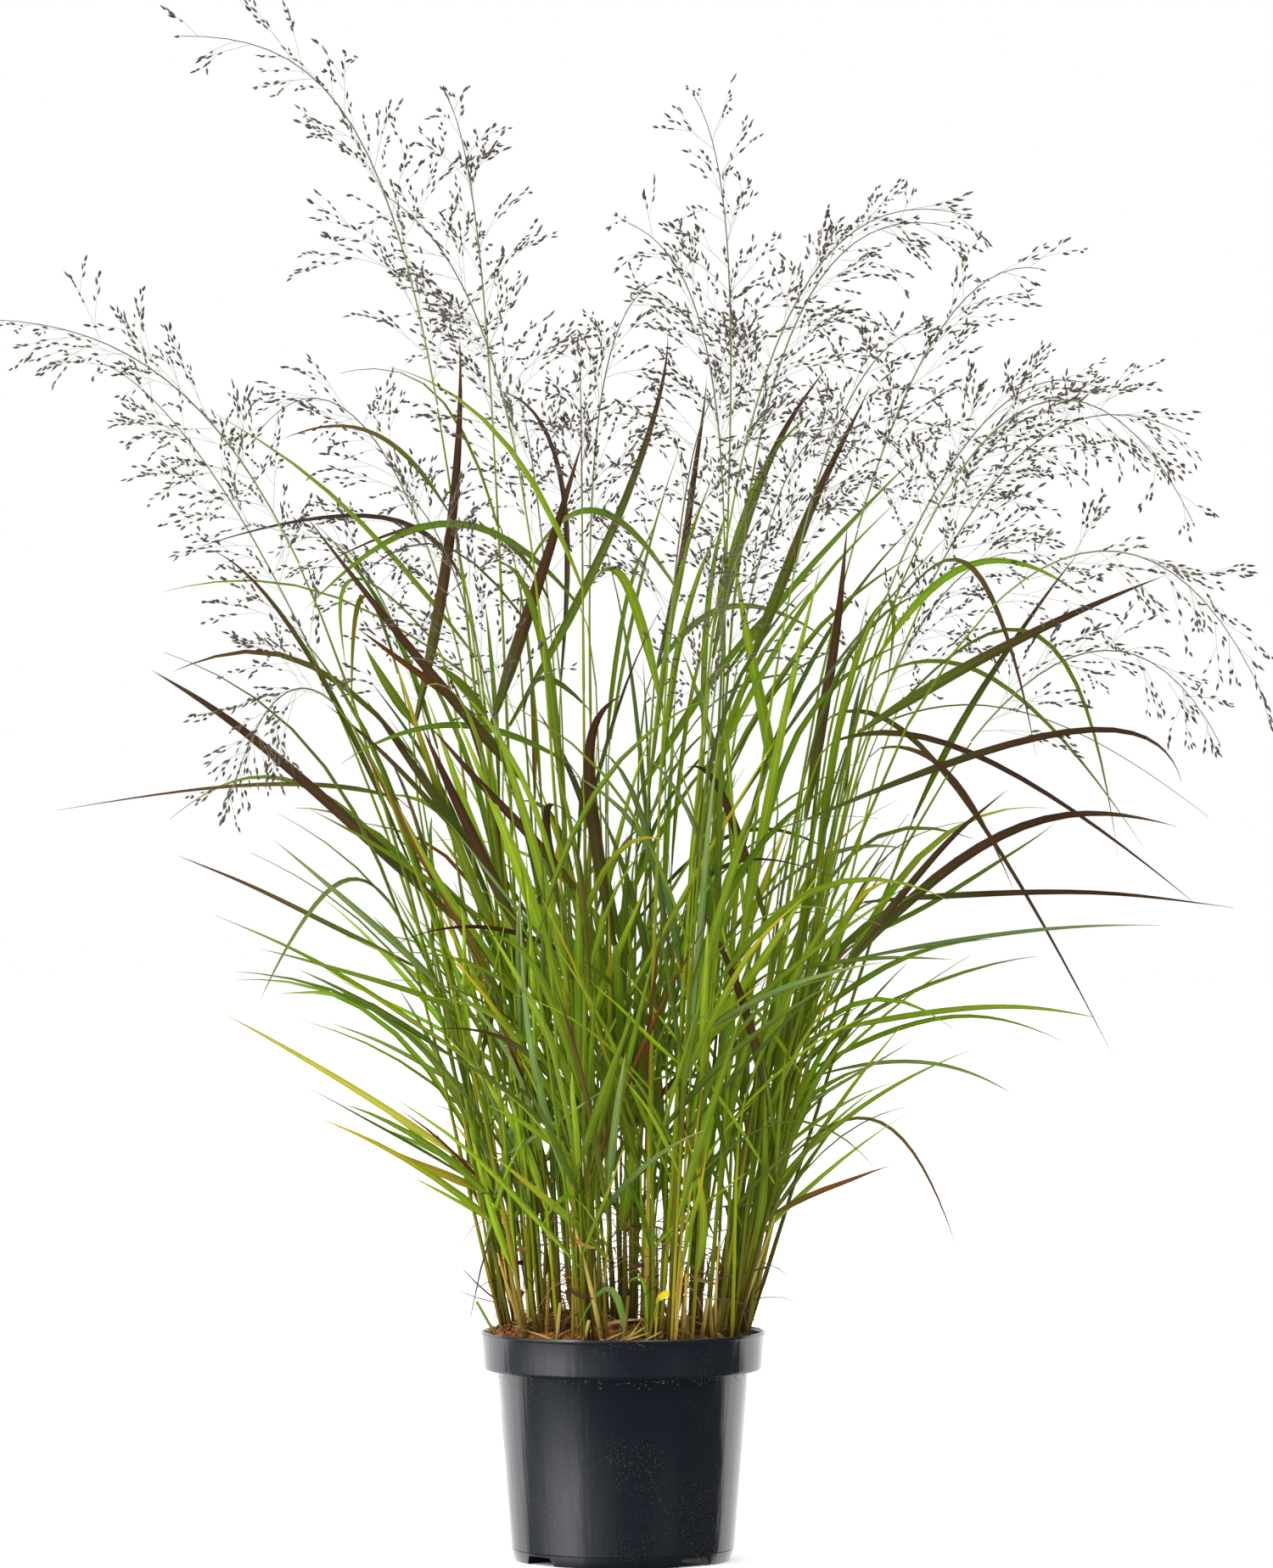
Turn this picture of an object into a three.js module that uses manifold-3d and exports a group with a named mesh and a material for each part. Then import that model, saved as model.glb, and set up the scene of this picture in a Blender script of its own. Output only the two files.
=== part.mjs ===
import * as THREE from 'three';
import { mergeVertices } from 'three/addons/utils/BufferGeometryUtils.js';
import Module from 'manifold-3d';

// A clump of switchgrass in flower, growing in its nursery pot. Millimetres, +Z up, and the origin is
// the middle of the pot's foot. The front of the clump faces -Y.

// Pot: a three-litre moulded pot, a thin shell with a collar under its rim
const POT_HEIGHT = 152;
const RIM_RADIUS = 95;
const COLLAR_HEIGHT = 26;
const COLLAR_RADIUS = 92.5;
const BODY_RADIUS = 83.7;
const SEAM_HEIGHT = 7.7;
const SEAM_RADIUS = 74.2;
const FOOT_RADIUS = 72.6;
const WALL = 1.5;
const POT_SIDES = 32;

// Drain channels: four pressed-up tunnels from the middle of the base out through the foot
const CHANNELS = 4;
const CHANNEL_START = 24;
const CHANNEL_WIDTH = 28;
const CHANNEL_ROOF = 21;
const CHANNEL_HEIGHT = 5.7;
const CHANNEL_TURN = THREE.MathUtils.degToRad(40.75);
const DRAIN_RADIUS = 4;
const DRAIN_PLACE = 56;

// Soil: fills the pot to just under the rim and heaps up left of the middle
const CLEARANCE = 0.35;
const SOIL_LEVEL = 146;
const MOUND_RISE = 17;
const MOUND_X = -34;
const MOUND_SPREAD = 36;
const SOIL_WAVE = 1.1;

// Tufts: short woody crowns in pockets of the soil, one in the middle and two rings round it
const CROWN_RINGS = [[1, 0, 0], [5, 38, 0.3], [10, 71, 0.1]];
const CROWN_RADIUS = 13;
const CROWN_DEPTH = 12;
const CROWN_SIDES = 6;
const FOOT_SPREAD = 9.5;
const FAN_PER_MM = 0.002;
const CROWDING = 3;
const SHOOTS_PER_TUFT = 5;
const SIDE_LEAVES = 40;
const TRIES = 24;

// Stems and blades
const CULM_RADIUS = [1.9, 1.0];
const SHOOT_RADIUS = [1.9, 1.25];
const BLADE_KEEL = 1.15;
const BLADE_CROOK = 0.72;
const NECK_WIDTH = 0.8;
const BLADE_FACING = THREE.MathUtils.degToRad(62);
const STEM_TURN = 35;
const SHOOT_RISE = [110, 340];
const SHOOT_LEAN = [0.1, 0.75];
const SHOOT_LENGTH = [170, 310];
const SHOOT_WIDTH = [5, 8];
const SIDE_PLACE = [0.35, 0.9];
const SIDE_LEAN = [0.3, 0.9];
const SIDE_LENGTH = [130, 260];
const SIDE_WIDTH = [4.5, 7.5];
const LEAF_DROOP = [0.1, 1.5];
const LEAF_ROLL = [-1.1, 1.1];

// Flower sprays
const AXIS_RADIUS = [0.95, 0.5];
const BRANCH_RADIUS = [0.2, 0.5];
const SPIKELET_RADIUS = 1.05;
const SPIKELET_LENGTH = 4.6;
const BRANCHES = 7;
const BRANCHED_PART = [0.05, 0.8];
const GOLDEN_TURN = 2.4;
const BRANCH_SPREAD = [0.65, 0.95];
const BRANCH_SAG = 0.2;

// Flowering culms: foot x, y; lower handle x, z; upper handle x, z; tip x, y, z; spray length, reach
const CULMS = [
  [-53, -10, -115, 900, -150, 1010, -289, -95, 1005, 330, 105],
  [-60, 28, -84, 650, -86, 930, -122, 95, 987, 240, 90],
  [-36, -42, -42, 600, -56, 835, -150, -190, 892, 220, 85],
  [-76, -28, -175, 640, -240, 815, -410, -120, 818, 275, 95],
  [-78, 18, -125, 470, -270, 770, -358, 150, 805, 290, 95],
  [-45, 48, -75, 620, -170, 860, -253, 185, 758, 240, 85],
  [-80, -38, -125, 520, -205, 680, -250, -200, 510, 130, 70],
  [-22, -30, -25, 400, -26, 650, -28, -60, 792, 95, 30],
  [38, 40, 72, 600, 95, 860, 3, 110, 898, 210, 80],
  [45, 5, 62, 600, 95, 900, 48, 35, 977, 270, 90],
  [40, -22, 45, 650, 75, 930, 223, -110, 887, 260, 85],
  [52, 42, 60, 650, 80, 930, 225, 170, 900, 240, 85],
  [68, 26, 115, 620, 190, 880, 283, 110, 867, 240, 85],
  [50, -48, 85, 560, 115, 790, 192, -215, 808, 210, 85],
  [75, -6, 160, 820, 300, 850, 375, -60, 689, 260, 80],
  [72, 45, 150, 560, 235, 830, 384, 150, 757, 250, 85],
  [80, -30, 140, 640, 325, 790, 416, -150, 568, 250, 75],
  [82, 12, 150, 500, 310, 720, 402, 60, 544, 220, 70],
  [62, 60, 130, 600, 230, 830, 330, 265, 795, 240, 90],
  [8, -45, 20, 520, 30, 740, 62, -300, 765, 230, 90],
  [30, -66, 45, 420, 60, 690, 85, -345, 690, 230, 85],
  [25, 62, 60, 520, 90, 760, 150, 340, 770, 230, 90],
  [-25, 68, -35, 520, -60, 760, -75, 330, 790, 230, 90],
  [-8, 30, -25, 600, -40, 820, 20, 150, 860, 220, 85],
  [-35, -68, -60, 450, -90, 680, -140, -320, 700, 220, 85],
  [-60, 55, -110, 480, -150, 700, -225, 310, 690, 220, 85],
  [58, 50, 120, 450, 190, 680, 280, 320, 680, 220, 80],
];

// Tall leaves that stand out of the clump: root x, z; elbow x, z; tip x, z; depth y; width
const LEAVES = [
  [-107, 651, -140, 725, -290, 674, 60, 4],
  [-138, 555, -104, 700, -108, 812, -45, 7],
  [-118, 700, -165, 778, -233, 750, 90, 3.5],
  [-29, 634, -110, 735, -209, 631, -60, 6],
  [-64, 516, -125, 585, -211, 696, -95, 7],
  [-143, 465, -222, 650, -276, 672, 20, 4],
  [-98, 414, -240, 550, -310, 592, -50, 7.5],
  [-132, 442, -225, 560, -307, 493, 70, 4.5],
  [-149, 506, -210, 527, -375, 499, -20, 3.5],
  [-155, 440, -190, 482, -239, 369, -80, 4],
  [-115, 378, -170, 432, -227, 479, -100, 4.5],
  [-132, 389, -240, 442, -304, 468, 110, 3.5],
  [-109, 335, -190, 395, -273, 428, 30, 3.5],
  [-90, 357, -150, 388, -239, 407, -70, 4],
  [-100, 262, -190, 325, -266, 365, -35, 5],
  [-76, 295, -150, 337, -200, 356, 80, 3.5],
  [-93, 246, -130, 264, -170, 282, -60, 6],
  [-126, 612, -200, 695, -184, 590, -25, 5],
  [-150, 590, -182, 700, -183, 555, 35, 5],
  [-98, 561, -140, 594, -173, 617, -90, 5],
  [-64, 408, -108, 500, -132, 555, -80, 7.5],
  [-25, 440, -85, 510, -129, 555, -90, 6],
  [-36, 530, -115, 577, -184, 529, -75, 5],
  [-98, 471, -150, 533, -194, 569, -110, 3.5],
  [-5, 408, -38, 560, 0, 575, -85, 8],
  [-30, 400, -95, 437, -149, 411, -100, 4],
  [-39, 493, -52, 660, -81, 660, -65, 5],
  [-87, 555, -55, 650, -25, 744, -50, 8],
  [-76, 555, 30, 740, 29, 819, 40, 6],
  [-42, 583, -25, 775, -90, 782, 75, 3.5],
  [-64, 660, -20, 740, 45, 630, -40, 6],
  [-50, 640, -90, 725, -205, 660, 20, 4],
  [26, 566, 0, 692, -25, 640, -55, 6],
  [-39, 425, -66, 542, -19, 476, -95, 5],
  [-67, 340, -69, 400, -67, 459, -95, 4],
  [121, 493, 140, 600, 149, 688, -45, 7],
  [156, 550, 250, 612, 359, 654, -35, 7.5],
  [185, 640, 240, 712, 270, 533, -70, 4.5],
  [190, 575, 300, 690, 333, 468, 40, 4],
  [173, 590, 250, 628, 354, 473, 100, 3.5],
  [180, 560, 265, 592, 390, 494, 0, 3.5],
  [122, 493, 345, 590, 362, 517, -110, 6],
  [195, 493, 240, 590, 311, 674, 75, 4.5],
  [139, 544, 215, 572, 378, 434, -85, 4.5],
  [139, 561, 200, 592, 337, 318, 50, 4],
  [170, 540, 215, 547, 255, 445, -100, 3.5],
  [150, 397, 255, 520, 364, 489, -60, 7.5],
  [161, 437, 290, 450, 410, 434, 30, 4.5],
  [130, 350, 240, 377, 319, 361, -20, 4.5],
  [120, 320, 220, 382, 302, 340, 65, 4],
  [112, 270, 180, 335, 222, 205, -40, 3.5],
  [110, 262, 165, 317, 232, 343, -70, 3.5],
  [130, 320, 210, 341, 268, 303, 100, 3.5],
  [145, 405, 240, 447, 294, 490, 120, 3.5],
  [150, 400, 270, 425, 350, 424, -95, 3.5],
  [96, 420, 62, 537, 42, 527, -90, 5.5],
  [40, 440, 70, 482, 144, 454, -105, 3.5],
  [100, 290, 83, 376, 48, 442, -90, 6],
  [23, 595, 48, 690, 54, 786, -35, 5],
  [60, 600, 85, 730, 136, 795, 30, 6],
  [82, 590, 115, 680, 161, 777, -75, 7],
  [20, 590, 70, 668, 142, 608, 60, 5],
  [102, 510, 88, 590, 71, 668, -60, 6],
  [150, 600, 190, 680, 174, 575, -30, 4.5],
  [170, 600, 235, 704, 314, 640, 90, 5],
  [145, 395, 205, 475, 249, 513, -115, 5],
  [94, 390, 156, 405, 215, 402, -100, 3.5],
];

const wasm = await Module();
wasm.setup();

// Seeded draws, the same on every run
let drawState = 20260;
function draw(low, high) {
  drawState = (Math.imul(drawState, 1664525) + 1013904223) >>> 0;
  return low + ((high - low) * drawState) / 4294967296;
}

// Merges the corners that share a place, and drops the triangles that this closes up: those with two
// corners alike, and pairs that lie back to back
function welded(geometry, tolerance) {
  const bare = geometry.clone();
  bare.deleteAttribute('normal');
  bare.deleteAttribute('uv');
  const merged = mergeVertices(bare, tolerance);
  const kept = new Map();
  for (let i = 0; i < merged.index.count; i += 3) {
    const triangle = [...merged.index.array.slice(i, i + 3)];
    const key = [...triangle].sort((a, b) => a - b).join();
    if (new Set(triangle).size < 3) continue;
    if (kept.has(key)) kept.delete(key);
    else kept.set(key, triangle);
  }
  merged.setIndex([...kept.values()].flat());
  return merged;
}

// A closed three.js geometry as a solid
function solidFrom(geometry) {
  const merged = welded(geometry, 1e-4);
  const mesh = new wasm.Mesh({
    numProp: 3,
    vertProperties: merged.attributes.position.array,
    triVerts: new Uint32Array(merged.index.array),
  });
  return new wasm.Manifold(mesh);
}

// A solid as a named three.js mesh
function meshFrom(solid, name, look) {
  const data = solid.getMesh();
  const raw = new THREE.BufferGeometry();
  raw.setAttribute('position', new THREE.BufferAttribute(data.vertProperties, 3));
  raw.setIndex(new THREE.BufferAttribute(data.triVerts, 1));
  const geometry = welded(raw, 2e-3);
  geometry.computeVertexNormals();
  const mesh = new THREE.Mesh(geometry, new THREE.MeshStandardMaterial({ ...look, flatShading: true }));
  mesh.name = name;
  return mesh;
}

// A solid of revolution about Z from points of (radius, height)
function turned(points, sides) {
  const profile = points.map(([radius, height]) => new THREE.Vector2(radius, height));
  const geometry = new THREE.LatheGeometry(profile, sides);
  geometry.rotateX(Math.PI / 2);
  return geometry;
}

// Pot
const collarFoot = POT_HEIGHT - COLLAR_HEIGHT;
const outerProfile = [
  [0, 0],
  [FOOT_RADIUS, 0],
  [SEAM_RADIUS, SEAM_HEIGHT],
  [BODY_RADIUS, collarFoot - 0.5],
  [COLLAR_RADIUS - 0.9, collarFoot],
  [COLLAR_RADIUS, collarFoot + 2],
  [RIM_RADIUS - 0.8, POT_HEIGHT - 3],
  [RIM_RADIUS, POT_HEIGHT - 0.8],
  [RIM_RADIUS - 0.7, POT_HEIGHT],
];
const innerProfile = [
  [RIM_RADIUS - 1.9, POT_HEIGHT],
  [COLLAR_RADIUS - WALL, collarFoot + 2.4],
  [BODY_RADIUS - WALL, collarFoot + 1.2],
  [SEAM_RADIUS - WALL, SEAM_HEIGHT],
  [FOOT_RADIUS - WALL, WALL],
  [0, WALL],
];

// One drain channel as a trapezoid bar, grown by a wall's thickness for its cover
function channelBar(grow, start, end, bottom) {
  const low = CHANNEL_WIDTH / 2 + grow;
  const high = CHANNEL_ROOF / 2 + grow;
  const outline = new THREE.Shape();
  outline.moveTo(-low, bottom);
  outline.lineTo(low, bottom);
  outline.lineTo(high, CHANNEL_HEIGHT + grow);
  outline.lineTo(-high, CHANNEL_HEIGHT + grow);
  outline.closePath();
  const bar = new THREE.ExtrudeGeometry(outline, { depth: end - start, bevelEnabled: false });
  bar.rotateX(Math.PI / 2);
  bar.translate(0, -start, 0);
  return bar;
}

function channels(grow, start, end, bottom) {
  let all = null;
  for (let k = 0; k < CHANNELS; k += 1) {
    const bar = channelBar(grow, start, end, bottom);
    bar.rotateZ(CHANNEL_TURN + (k * Math.PI * 2) / CHANNELS);
    all = all ? all.add(solidFrom(bar)) : solidFrom(bar);
  }
  return all;
}

function drainHoles() {
  let all = null;
  for (let k = 0; k < CHANNELS; k += 1) {
    const hole = new THREE.CylinderGeometry(DRAIN_RADIUS, DRAIN_RADIUS, 12, 10);
    hole.rotateX(Math.PI / 2);
    hole.translate(0, -DRAIN_PLACE, CHANNEL_HEIGHT);
    hole.rotateZ(CHANNEL_TURN + (k * Math.PI * 2) / CHANNELS);
    all = all ? all.add(solidFrom(hole)) : solidFrom(hole);
  }
  return all;
}

function makePot() {
  const shell = solidFrom(turned([...outerProfile, ...innerProfile], POT_SIDES));
  const filled = solidFrom(turned([...outerProfile, [0, POT_HEIGHT]], POT_SIDES));
  const covers = channels(WALL, CHANNEL_START - WALL, RIM_RADIUS, 0).intersect(filled);
  const tunnels = channels(0, CHANNEL_START, RIM_RADIUS, -1);
  return shell.add(covers).subtract(tunnels).subtract(drainHoles());
}

// Soil: a turned filling whose top follows the heaped surface
function soilHeight(x, y) {
  const mound = Math.exp(-((x - MOUND_X) ** 2 + y ** 2) / (2 * MOUND_SPREAD ** 2));
  const wave = Math.sin(x / 9) * Math.cos(y / 11);
  return SOIL_LEVEL + MOUND_RISE * mound + SOIL_WAVE * wave;
}

function soilFilling() {
  const gap = CLEARANCE;
  const edge = COLLAR_RADIUS - WALL - gap;
  const profile = [
    [0, WALL + gap],
    [FOOT_RADIUS - WALL - gap, WALL + gap],
    [SEAM_RADIUS - WALL - gap, SEAM_HEIGHT],
    [BODY_RADIUS - WALL - gap, collarFoot + 1.2 + gap],
    [edge, collarFoot + 2.4 + gap],
    [edge + 0.9, SOIL_LEVEL],
    [76, SOIL_LEVEL],
    [58, SOIL_LEVEL],
    [40, SOIL_LEVEL],
    [20, SOIL_LEVEL],
    [0, SOIL_LEVEL],
  ];
  const filling = turned(profile, POT_SIDES / 2);
  const place = filling.attributes.position;
  for (let i = 0; i < place.count; i += 1) {
    if (place.getZ(i) > SOIL_LEVEL - 0.01) place.setZ(i, soilHeight(place.getX(i), place.getY(i)));
  }
  return solidFrom(filling).subtract(channels(WALL + gap, CHANNEL_START - WALL - gap, RIM_RADIUS, 0));
}

// Tufts: where each crown sits
const tufts = [];
for (const [count, radius, turn] of CROWN_RINGS) {
  for (let k = 0; k < count; k += 1) {
    const angle = turn + (k * Math.PI * 2) / count;
    const x = radius * Math.cos(angle);
    const y = radius * Math.sin(angle);
    tufts.push({ x, y, z: soilHeight(x, y), strands: [] });
  }
}

function hexagonBlock(tuft, radius, low, high, shoulder) {
  const points = [[0, low], [radius, low], [radius, high - shoulder], [radius - shoulder, high], [0, high]];
  const block = turned(points, CROWN_SIDES);
  block.translate(tuft.x, tuft.y, tuft.z);
  return solidFrom(block);
}

function nearestTuft(x, y) {
  const away = tufts.map((tuft) => Math.hypot(tuft.x - x, tuft.y - y) + CROWDING * tuft.strands.length);
  return away.indexOf(Math.min(...away));
}

// The foot of a stem, drawn in to the crown that it grows from
function footIn(tuft, x, y) {
  const shift = new THREE.Vector3(x - tuft.x, y - tuft.y, 0).clampLength(0, FOOT_SPREAD);
  return new THREE.Vector3(tuft.x + shift.x, tuft.y + shift.y, tuft.z - 1);
}

// Room: every accepted strand leaves round markers, and a new one must pass between those of others
const MARK_CELL = 16;
const MARK_STEP = 7;
const marks = new Map();
const cellOf = (v) => Math.floor(v / MARK_CELL);

function keepMarks(markers, owner) {
  for (const mark of markers) {
    const key = `${cellOf(mark.x)},${cellOf(mark.y)},${cellOf(mark.z)}`;
    if (!marks.has(key)) marks.set(key, []);
    marks.get(key).push({ ...mark, owner });
  }
}

function roomFor(markers, counts) {
  let room = 99;
  for (const mark of markers) {
    for (let i = -1; i < 2; i += 1) {
      for (let j = -1; j < 2; j += 1) {
        for (let k = -1; k < 2; k += 1) {
          const key = `${cellOf(mark.x) + i},${cellOf(mark.y) + j},${cellOf(mark.z) + k}`;
          for (const other of marks.get(key) ?? []) {
            if (!counts(other)) continue;
            const away = Math.hypot(mark.x - other.x, mark.y - other.y, mark.z - other.z);
            room = Math.min(room, away - mark.r - other.r);
          }
        }
      }
    }
  }
  return room;
}

function markersAlong(curve, from, to, radiusAt) {
  const steps = Math.ceil(curve.getLength() / MARK_STEP);
  const markers = [];
  for (let k = 0; k <= steps; k += 1) {
    const s = from + ((to - from) * k) / steps;
    const point = curve.getPoint(s);
    markers.push({ x: point.x, y: point.y, z: point.z, r: radiusAt(s) });
  }
  return markers;
}

// A closed body along a curve, one ring of corners for each station, ending in a point or a flat cap
function sweep(rings, tip) {
  const sides = rings[0].length;
  const corners = rings.flat();
  const faces = [];
  for (let r = 0; r + 1 < rings.length; r += 1) {
    for (let k = 0; k < sides; k += 1) {
      const a = r * sides + k;
      const b = r * sides + ((k + 1) % sides);
      faces.push(a, b, b + sides, a, b + sides, a + sides);
    }
  }
  const last = (rings.length - 1) * sides;
  for (let k = 1; k + 1 < sides; k += 1) faces.push(0, k + 1, k);
  if (tip) {
    for (let k = 0; k < sides; k += 1) faces.push(last + k, last + ((k + 1) % sides), corners.length);
    corners.push(tip);
  } else {
    for (let k = 1; k + 1 < sides; k += 1) faces.push(last, last + k, last + k + 1);
  }
  const geometry = new THREE.BufferGeometry().setFromPoints(corners);
  geometry.setIndex(faces);
  return solidFrom(geometry);
}

// Across and up directions of a strand that heads the way of its tangent, rolled about it
function framed(tangent, heading, roll) {
  const across = new THREE.Vector3(-heading.y, heading.x, 0);
  across.addScaledVector(tangent, -across.dot(tangent)).normalize();
  const up = new THREE.Vector3().crossVectors(tangent, across);
  const turnedAcross = across.clone().multiplyScalar(Math.cos(roll)).addScaledVector(up, Math.sin(roll));
  const turnedUp = up.multiplyScalar(Math.cos(roll)).addScaledVector(across, -Math.sin(roll));
  return [turnedAcross, turnedUp];
}

function ringAround(centre, across, up, sides, radius, start) {
  const ring = [];
  for (let k = 0; k < sides; k += 1) {
    const angle = start + (k * Math.PI * 2) / sides;
    const corner = centre.clone().addScaledVector(across, radius * Math.cos(angle));
    ring.push(corner.addScaledVector(up, radius * Math.sin(angle)));
  }
  return ring;
}

// A blade's section: two edges and the keel below them
function keeled(centre, across, up, width, keelDepth = BLADE_KEEL) {
  const left = centre.clone().addScaledVector(across, -width / 2);
  const right = centre.clone().addScaledVector(across, width / 2);
  const keel = centre.clone().addScaledVector(up, -keelDepth);
  return [right, left, keel];
}

function bladeWidth(width, s) {
  return width * (1 - s ** 3) * (0.45 + 0.55 * Math.min(1, s / 0.2));
}

function headingOf(from, to) {
  return new THREE.Vector3(to.x - from.x, to.y - from.y, 0).normalize();
}

function bent(root, elbow, tip) {
  const near = root.clone().lerp(elbow, BLADE_CROOK);
  const far = tip.clone().lerp(elbow, BLADE_CROOK);
  return new THREE.CubicBezierCurve3(root, near, far, tip);
}

const STEM_STATIONS = [0, 0.6];
const BLADE_STATIONS = [0.22, 0.5, 0.8];
const CULM_STATIONS = [0, 0.25, 0.5, 0.75, 1];

// A leafy shoot: a stem from its foot to the collar, and its top leaf from there on
function shootSolid(shoot) {
  const rings = [];
  for (const t of STEM_STATIONS) {
    const [across, up] = framed(shoot.stem.getTangent(t), shoot.heading, shoot.roll);
    const radius = THREE.MathUtils.lerp(...SHOOT_RADIUS, t);
    rings.push(ringAround(shoot.stem.getPoint(t), across, up, 3, radius, Math.PI / 6));
  }
  for (const s of [0, ...BLADE_STATIONS]) {
    const [across, up] = framed(shoot.blade.getTangent(s), shoot.heading, shoot.roll);
    rings.push(keeled(shoot.blade.getPoint(s), across, up, bladeWidth(shoot.width, s)));
  }
  return sweep(rings, shoot.blade.getPoint(1));
}

// A side leaf starts as a narrow neck buried in its stem
function sideLeafSolid(leaf) {
  const rings = [0, 0.28, 0.6, 0.85].map((s) => {
    const [across, up] = framed(leaf.blade.getTangent(s), leaf.heading, leaf.roll);
    if (s === 0) return keeled(leaf.blade.getPoint(s), across, up, NECK_WIDTH, NECK_WIDTH / 2);
    return keeled(leaf.blade.getPoint(s), across, up, bladeWidth(leaf.width, s));
  });
  return sweep(rings, leaf.blade.getPoint(1));
}

function bladeMarkers(blade, width, from) {
  return markersAlong(blade, from, 1, (s) => Math.max(bladeWidth(width, s) / 2, BLADE_KEEL / 2));
}

// The stem of a shoot leaves its crown straight for the collar and turns in to the leaf there
function stemTo(foot, collar, elbow) {
  const lean = collar.clone().sub(foot);
  const turn = elbow.clone().sub(collar).setLength(Math.min(STEM_TURN, lean.length() / 4));
  const near = foot.clone().addScaledVector(lean, 0.5);
  return new THREE.CubicBezierCurve3(foot, near, collar.clone().sub(turn), collar);
}

function tryShoot(tuftIndex, collar, elbow, tip, width, roll) {
  const tuft = tufts[tuftIndex];
  const fan = 1 / (1 + FAN_PER_MM * (collar.z - tuft.z));
  const foot = footIn(tuft, collar.x * fan, collar.y * fan);
  const stem = stemTo(foot, collar, elbow);
  const blade = bent(collar, elbow, tip);
  const stemMarkers = markersAlong(stem, 0, 1, () => SHOOT_RADIUS[0]);
  const markers = [...stemMarkers, ...bladeMarkers(blade, width, 0)];
  const shoot = { stem, blade, width, roll, heading: headingOf(collar, tip), markers, tuftIndex };
  return measured(shoot, bladeMarkers(blade, width, 0.2));
}

// Room to other tufts and sprays, and room of a blade among the strands of its own tuft
function measured(strand, ownMarkers) {
  const owner = `tuft${strand.tuftIndex}`;
  strand.room = roomFor(strand.markers, (other) => other.owner !== owner);
  strand.own = roomFor(ownMarkers, (other) => other.owner === owner);
  return strand;
}

function better(candidate, best) {
  const free = candidate.room > CLEARANCE;
  if (!best || free !== best.room > CLEARANCE) return !best || free;
  return free ? candidate.own > best.own : candidate.room > best.room;
}

// Tries courses in turn until one is clear of its neighbours, or else keeps the roomiest
function settle(tries, make) {
  let best = null;
  for (let attempt = 0; attempt < tries; attempt += 1) {
    const candidate = make(attempt);
    if (better(candidate, best)) best = candidate;
    if (best.room > CLEARANCE && best.own > 0) break;
  }
  return best;
}

function accept(strand) {
  keepMarks(strand.markers, `tuft${strand.tuftIndex}`);
  tufts[strand.tuftIndex].strands.push(strand);
}

// Culms first: the lower part belongs to its tuft, the top of the curve is the axis of its spray
const culms = CULMS.map((row) => {
  const [footX, footY, lowX, lowZ, highX, highZ, tipX, tipY, tipZ, sprayLength, reach] = row;
  const tuftIndex = nearestTuft(footX, footY);
  const foot = footIn(tufts[tuftIndex], footX, footY);
  const across = tipY - foot.y;
  const curve = new THREE.CubicBezierCurve3(
    foot,
    new THREE.Vector3(lowX, foot.y + 0.22 * across, lowZ),
    new THREE.Vector3(highX, foot.y + 0.6 * across, highZ),
    new THREE.Vector3(tipX, tipY, tipZ),
  );
  curve.arcLengthDivisions = 400;
  const length = curve.getLength();
  const split = curve.getUtoTmapping(0, length - sprayLength);
  const start = curve.getUtoTmapping(0, length - sprayLength + CLEARANCE);
  return { curve, split, start, tuftIndex, reach, sprayLength, heading: headingOf(foot, curve.v3) };
});
culms.forEach((culm, k) => {
  culm.markers = markersAlong(culm.curve, 0, culm.split, () => CULM_RADIUS[0]);
  culm.axisMarkers = markersAlong(culm.curve, culm.start, 1, () => SPIKELET_RADIUS);
  keepMarks(culm.markers, `tuft${culm.tuftIndex}`);
  keepMarks(culm.axisMarkers, `spray${k}`);
  tufts[culm.tuftIndex].strands.push(culm);
});

// The roll that turns a leaf's broad side to the front, less so where it folds back over that side
function rollToFront(collar, elbow, tip) {
  const heading = headingOf(collar, tip);
  const [across, up] = framed(bent(collar, elbow, tip).getTangent(0.5), heading, 0);
  const openness = tip.distanceTo(collar) / (elbow.distanceTo(collar) + tip.distanceTo(elbow));
  return -Math.sign(across.y * up.y) * BLADE_FACING * openness * Math.abs(heading.x);
}

// The placed leaves: the height and sideways place are fixed, the depth gives way to the neighbours
const DEPTH_TRIES = [0, -14, 14, -28, 28, -42, 42, -60, 60, -80, 80, 100, -100];
const DEPTH_SHARES = { collar: 0.5, elbow: 0.8, tip: 1.15 };
for (const [rootX, rootZ, elbowX, elbowZ, tipX, tipZ, depth, width] of LEAVES) {
  const fan = 1 / (1 + FAN_PER_MM * (rootZ - SOIL_LEVEL));
  accept(settle(DEPTH_TRIES.length, (attempt) => {
    const y = depth + DEPTH_TRIES[attempt];
    const collar = new THREE.Vector3(rootX, DEPTH_SHARES.collar * y, rootZ);
    const elbow = new THREE.Vector3(elbowX, DEPTH_SHARES.elbow * y, elbowZ);
    const tip = new THREE.Vector3(tipX, DEPTH_SHARES.tip * y, tipZ);
    const tuftIndex = nearestTuft(collar.x * fan, collar.y * fan);
    return tryShoot(tuftIndex, collar, elbow, tip, width, rollToFront(collar, elbow, tip));
  }));
}

// A leaf's course: up and out from its collar to an elbow, then over to the tip
function drawnLeaf(collar, azimuth, length, lean, droop) {
  const out = new THREE.Vector3(Math.cos(azimuth), Math.sin(azimuth), 0);
  const step = (from, share, angle) => from
    .clone()
    .addScaledVector(out, share * length * Math.sin(angle))
    .add(new THREE.Vector3(0, 0, share * length * Math.cos(angle)));
  const elbow = step(collar, 0.58, lean);
  return [elbow, step(elbow, 0.45, droop)];
}

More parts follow.
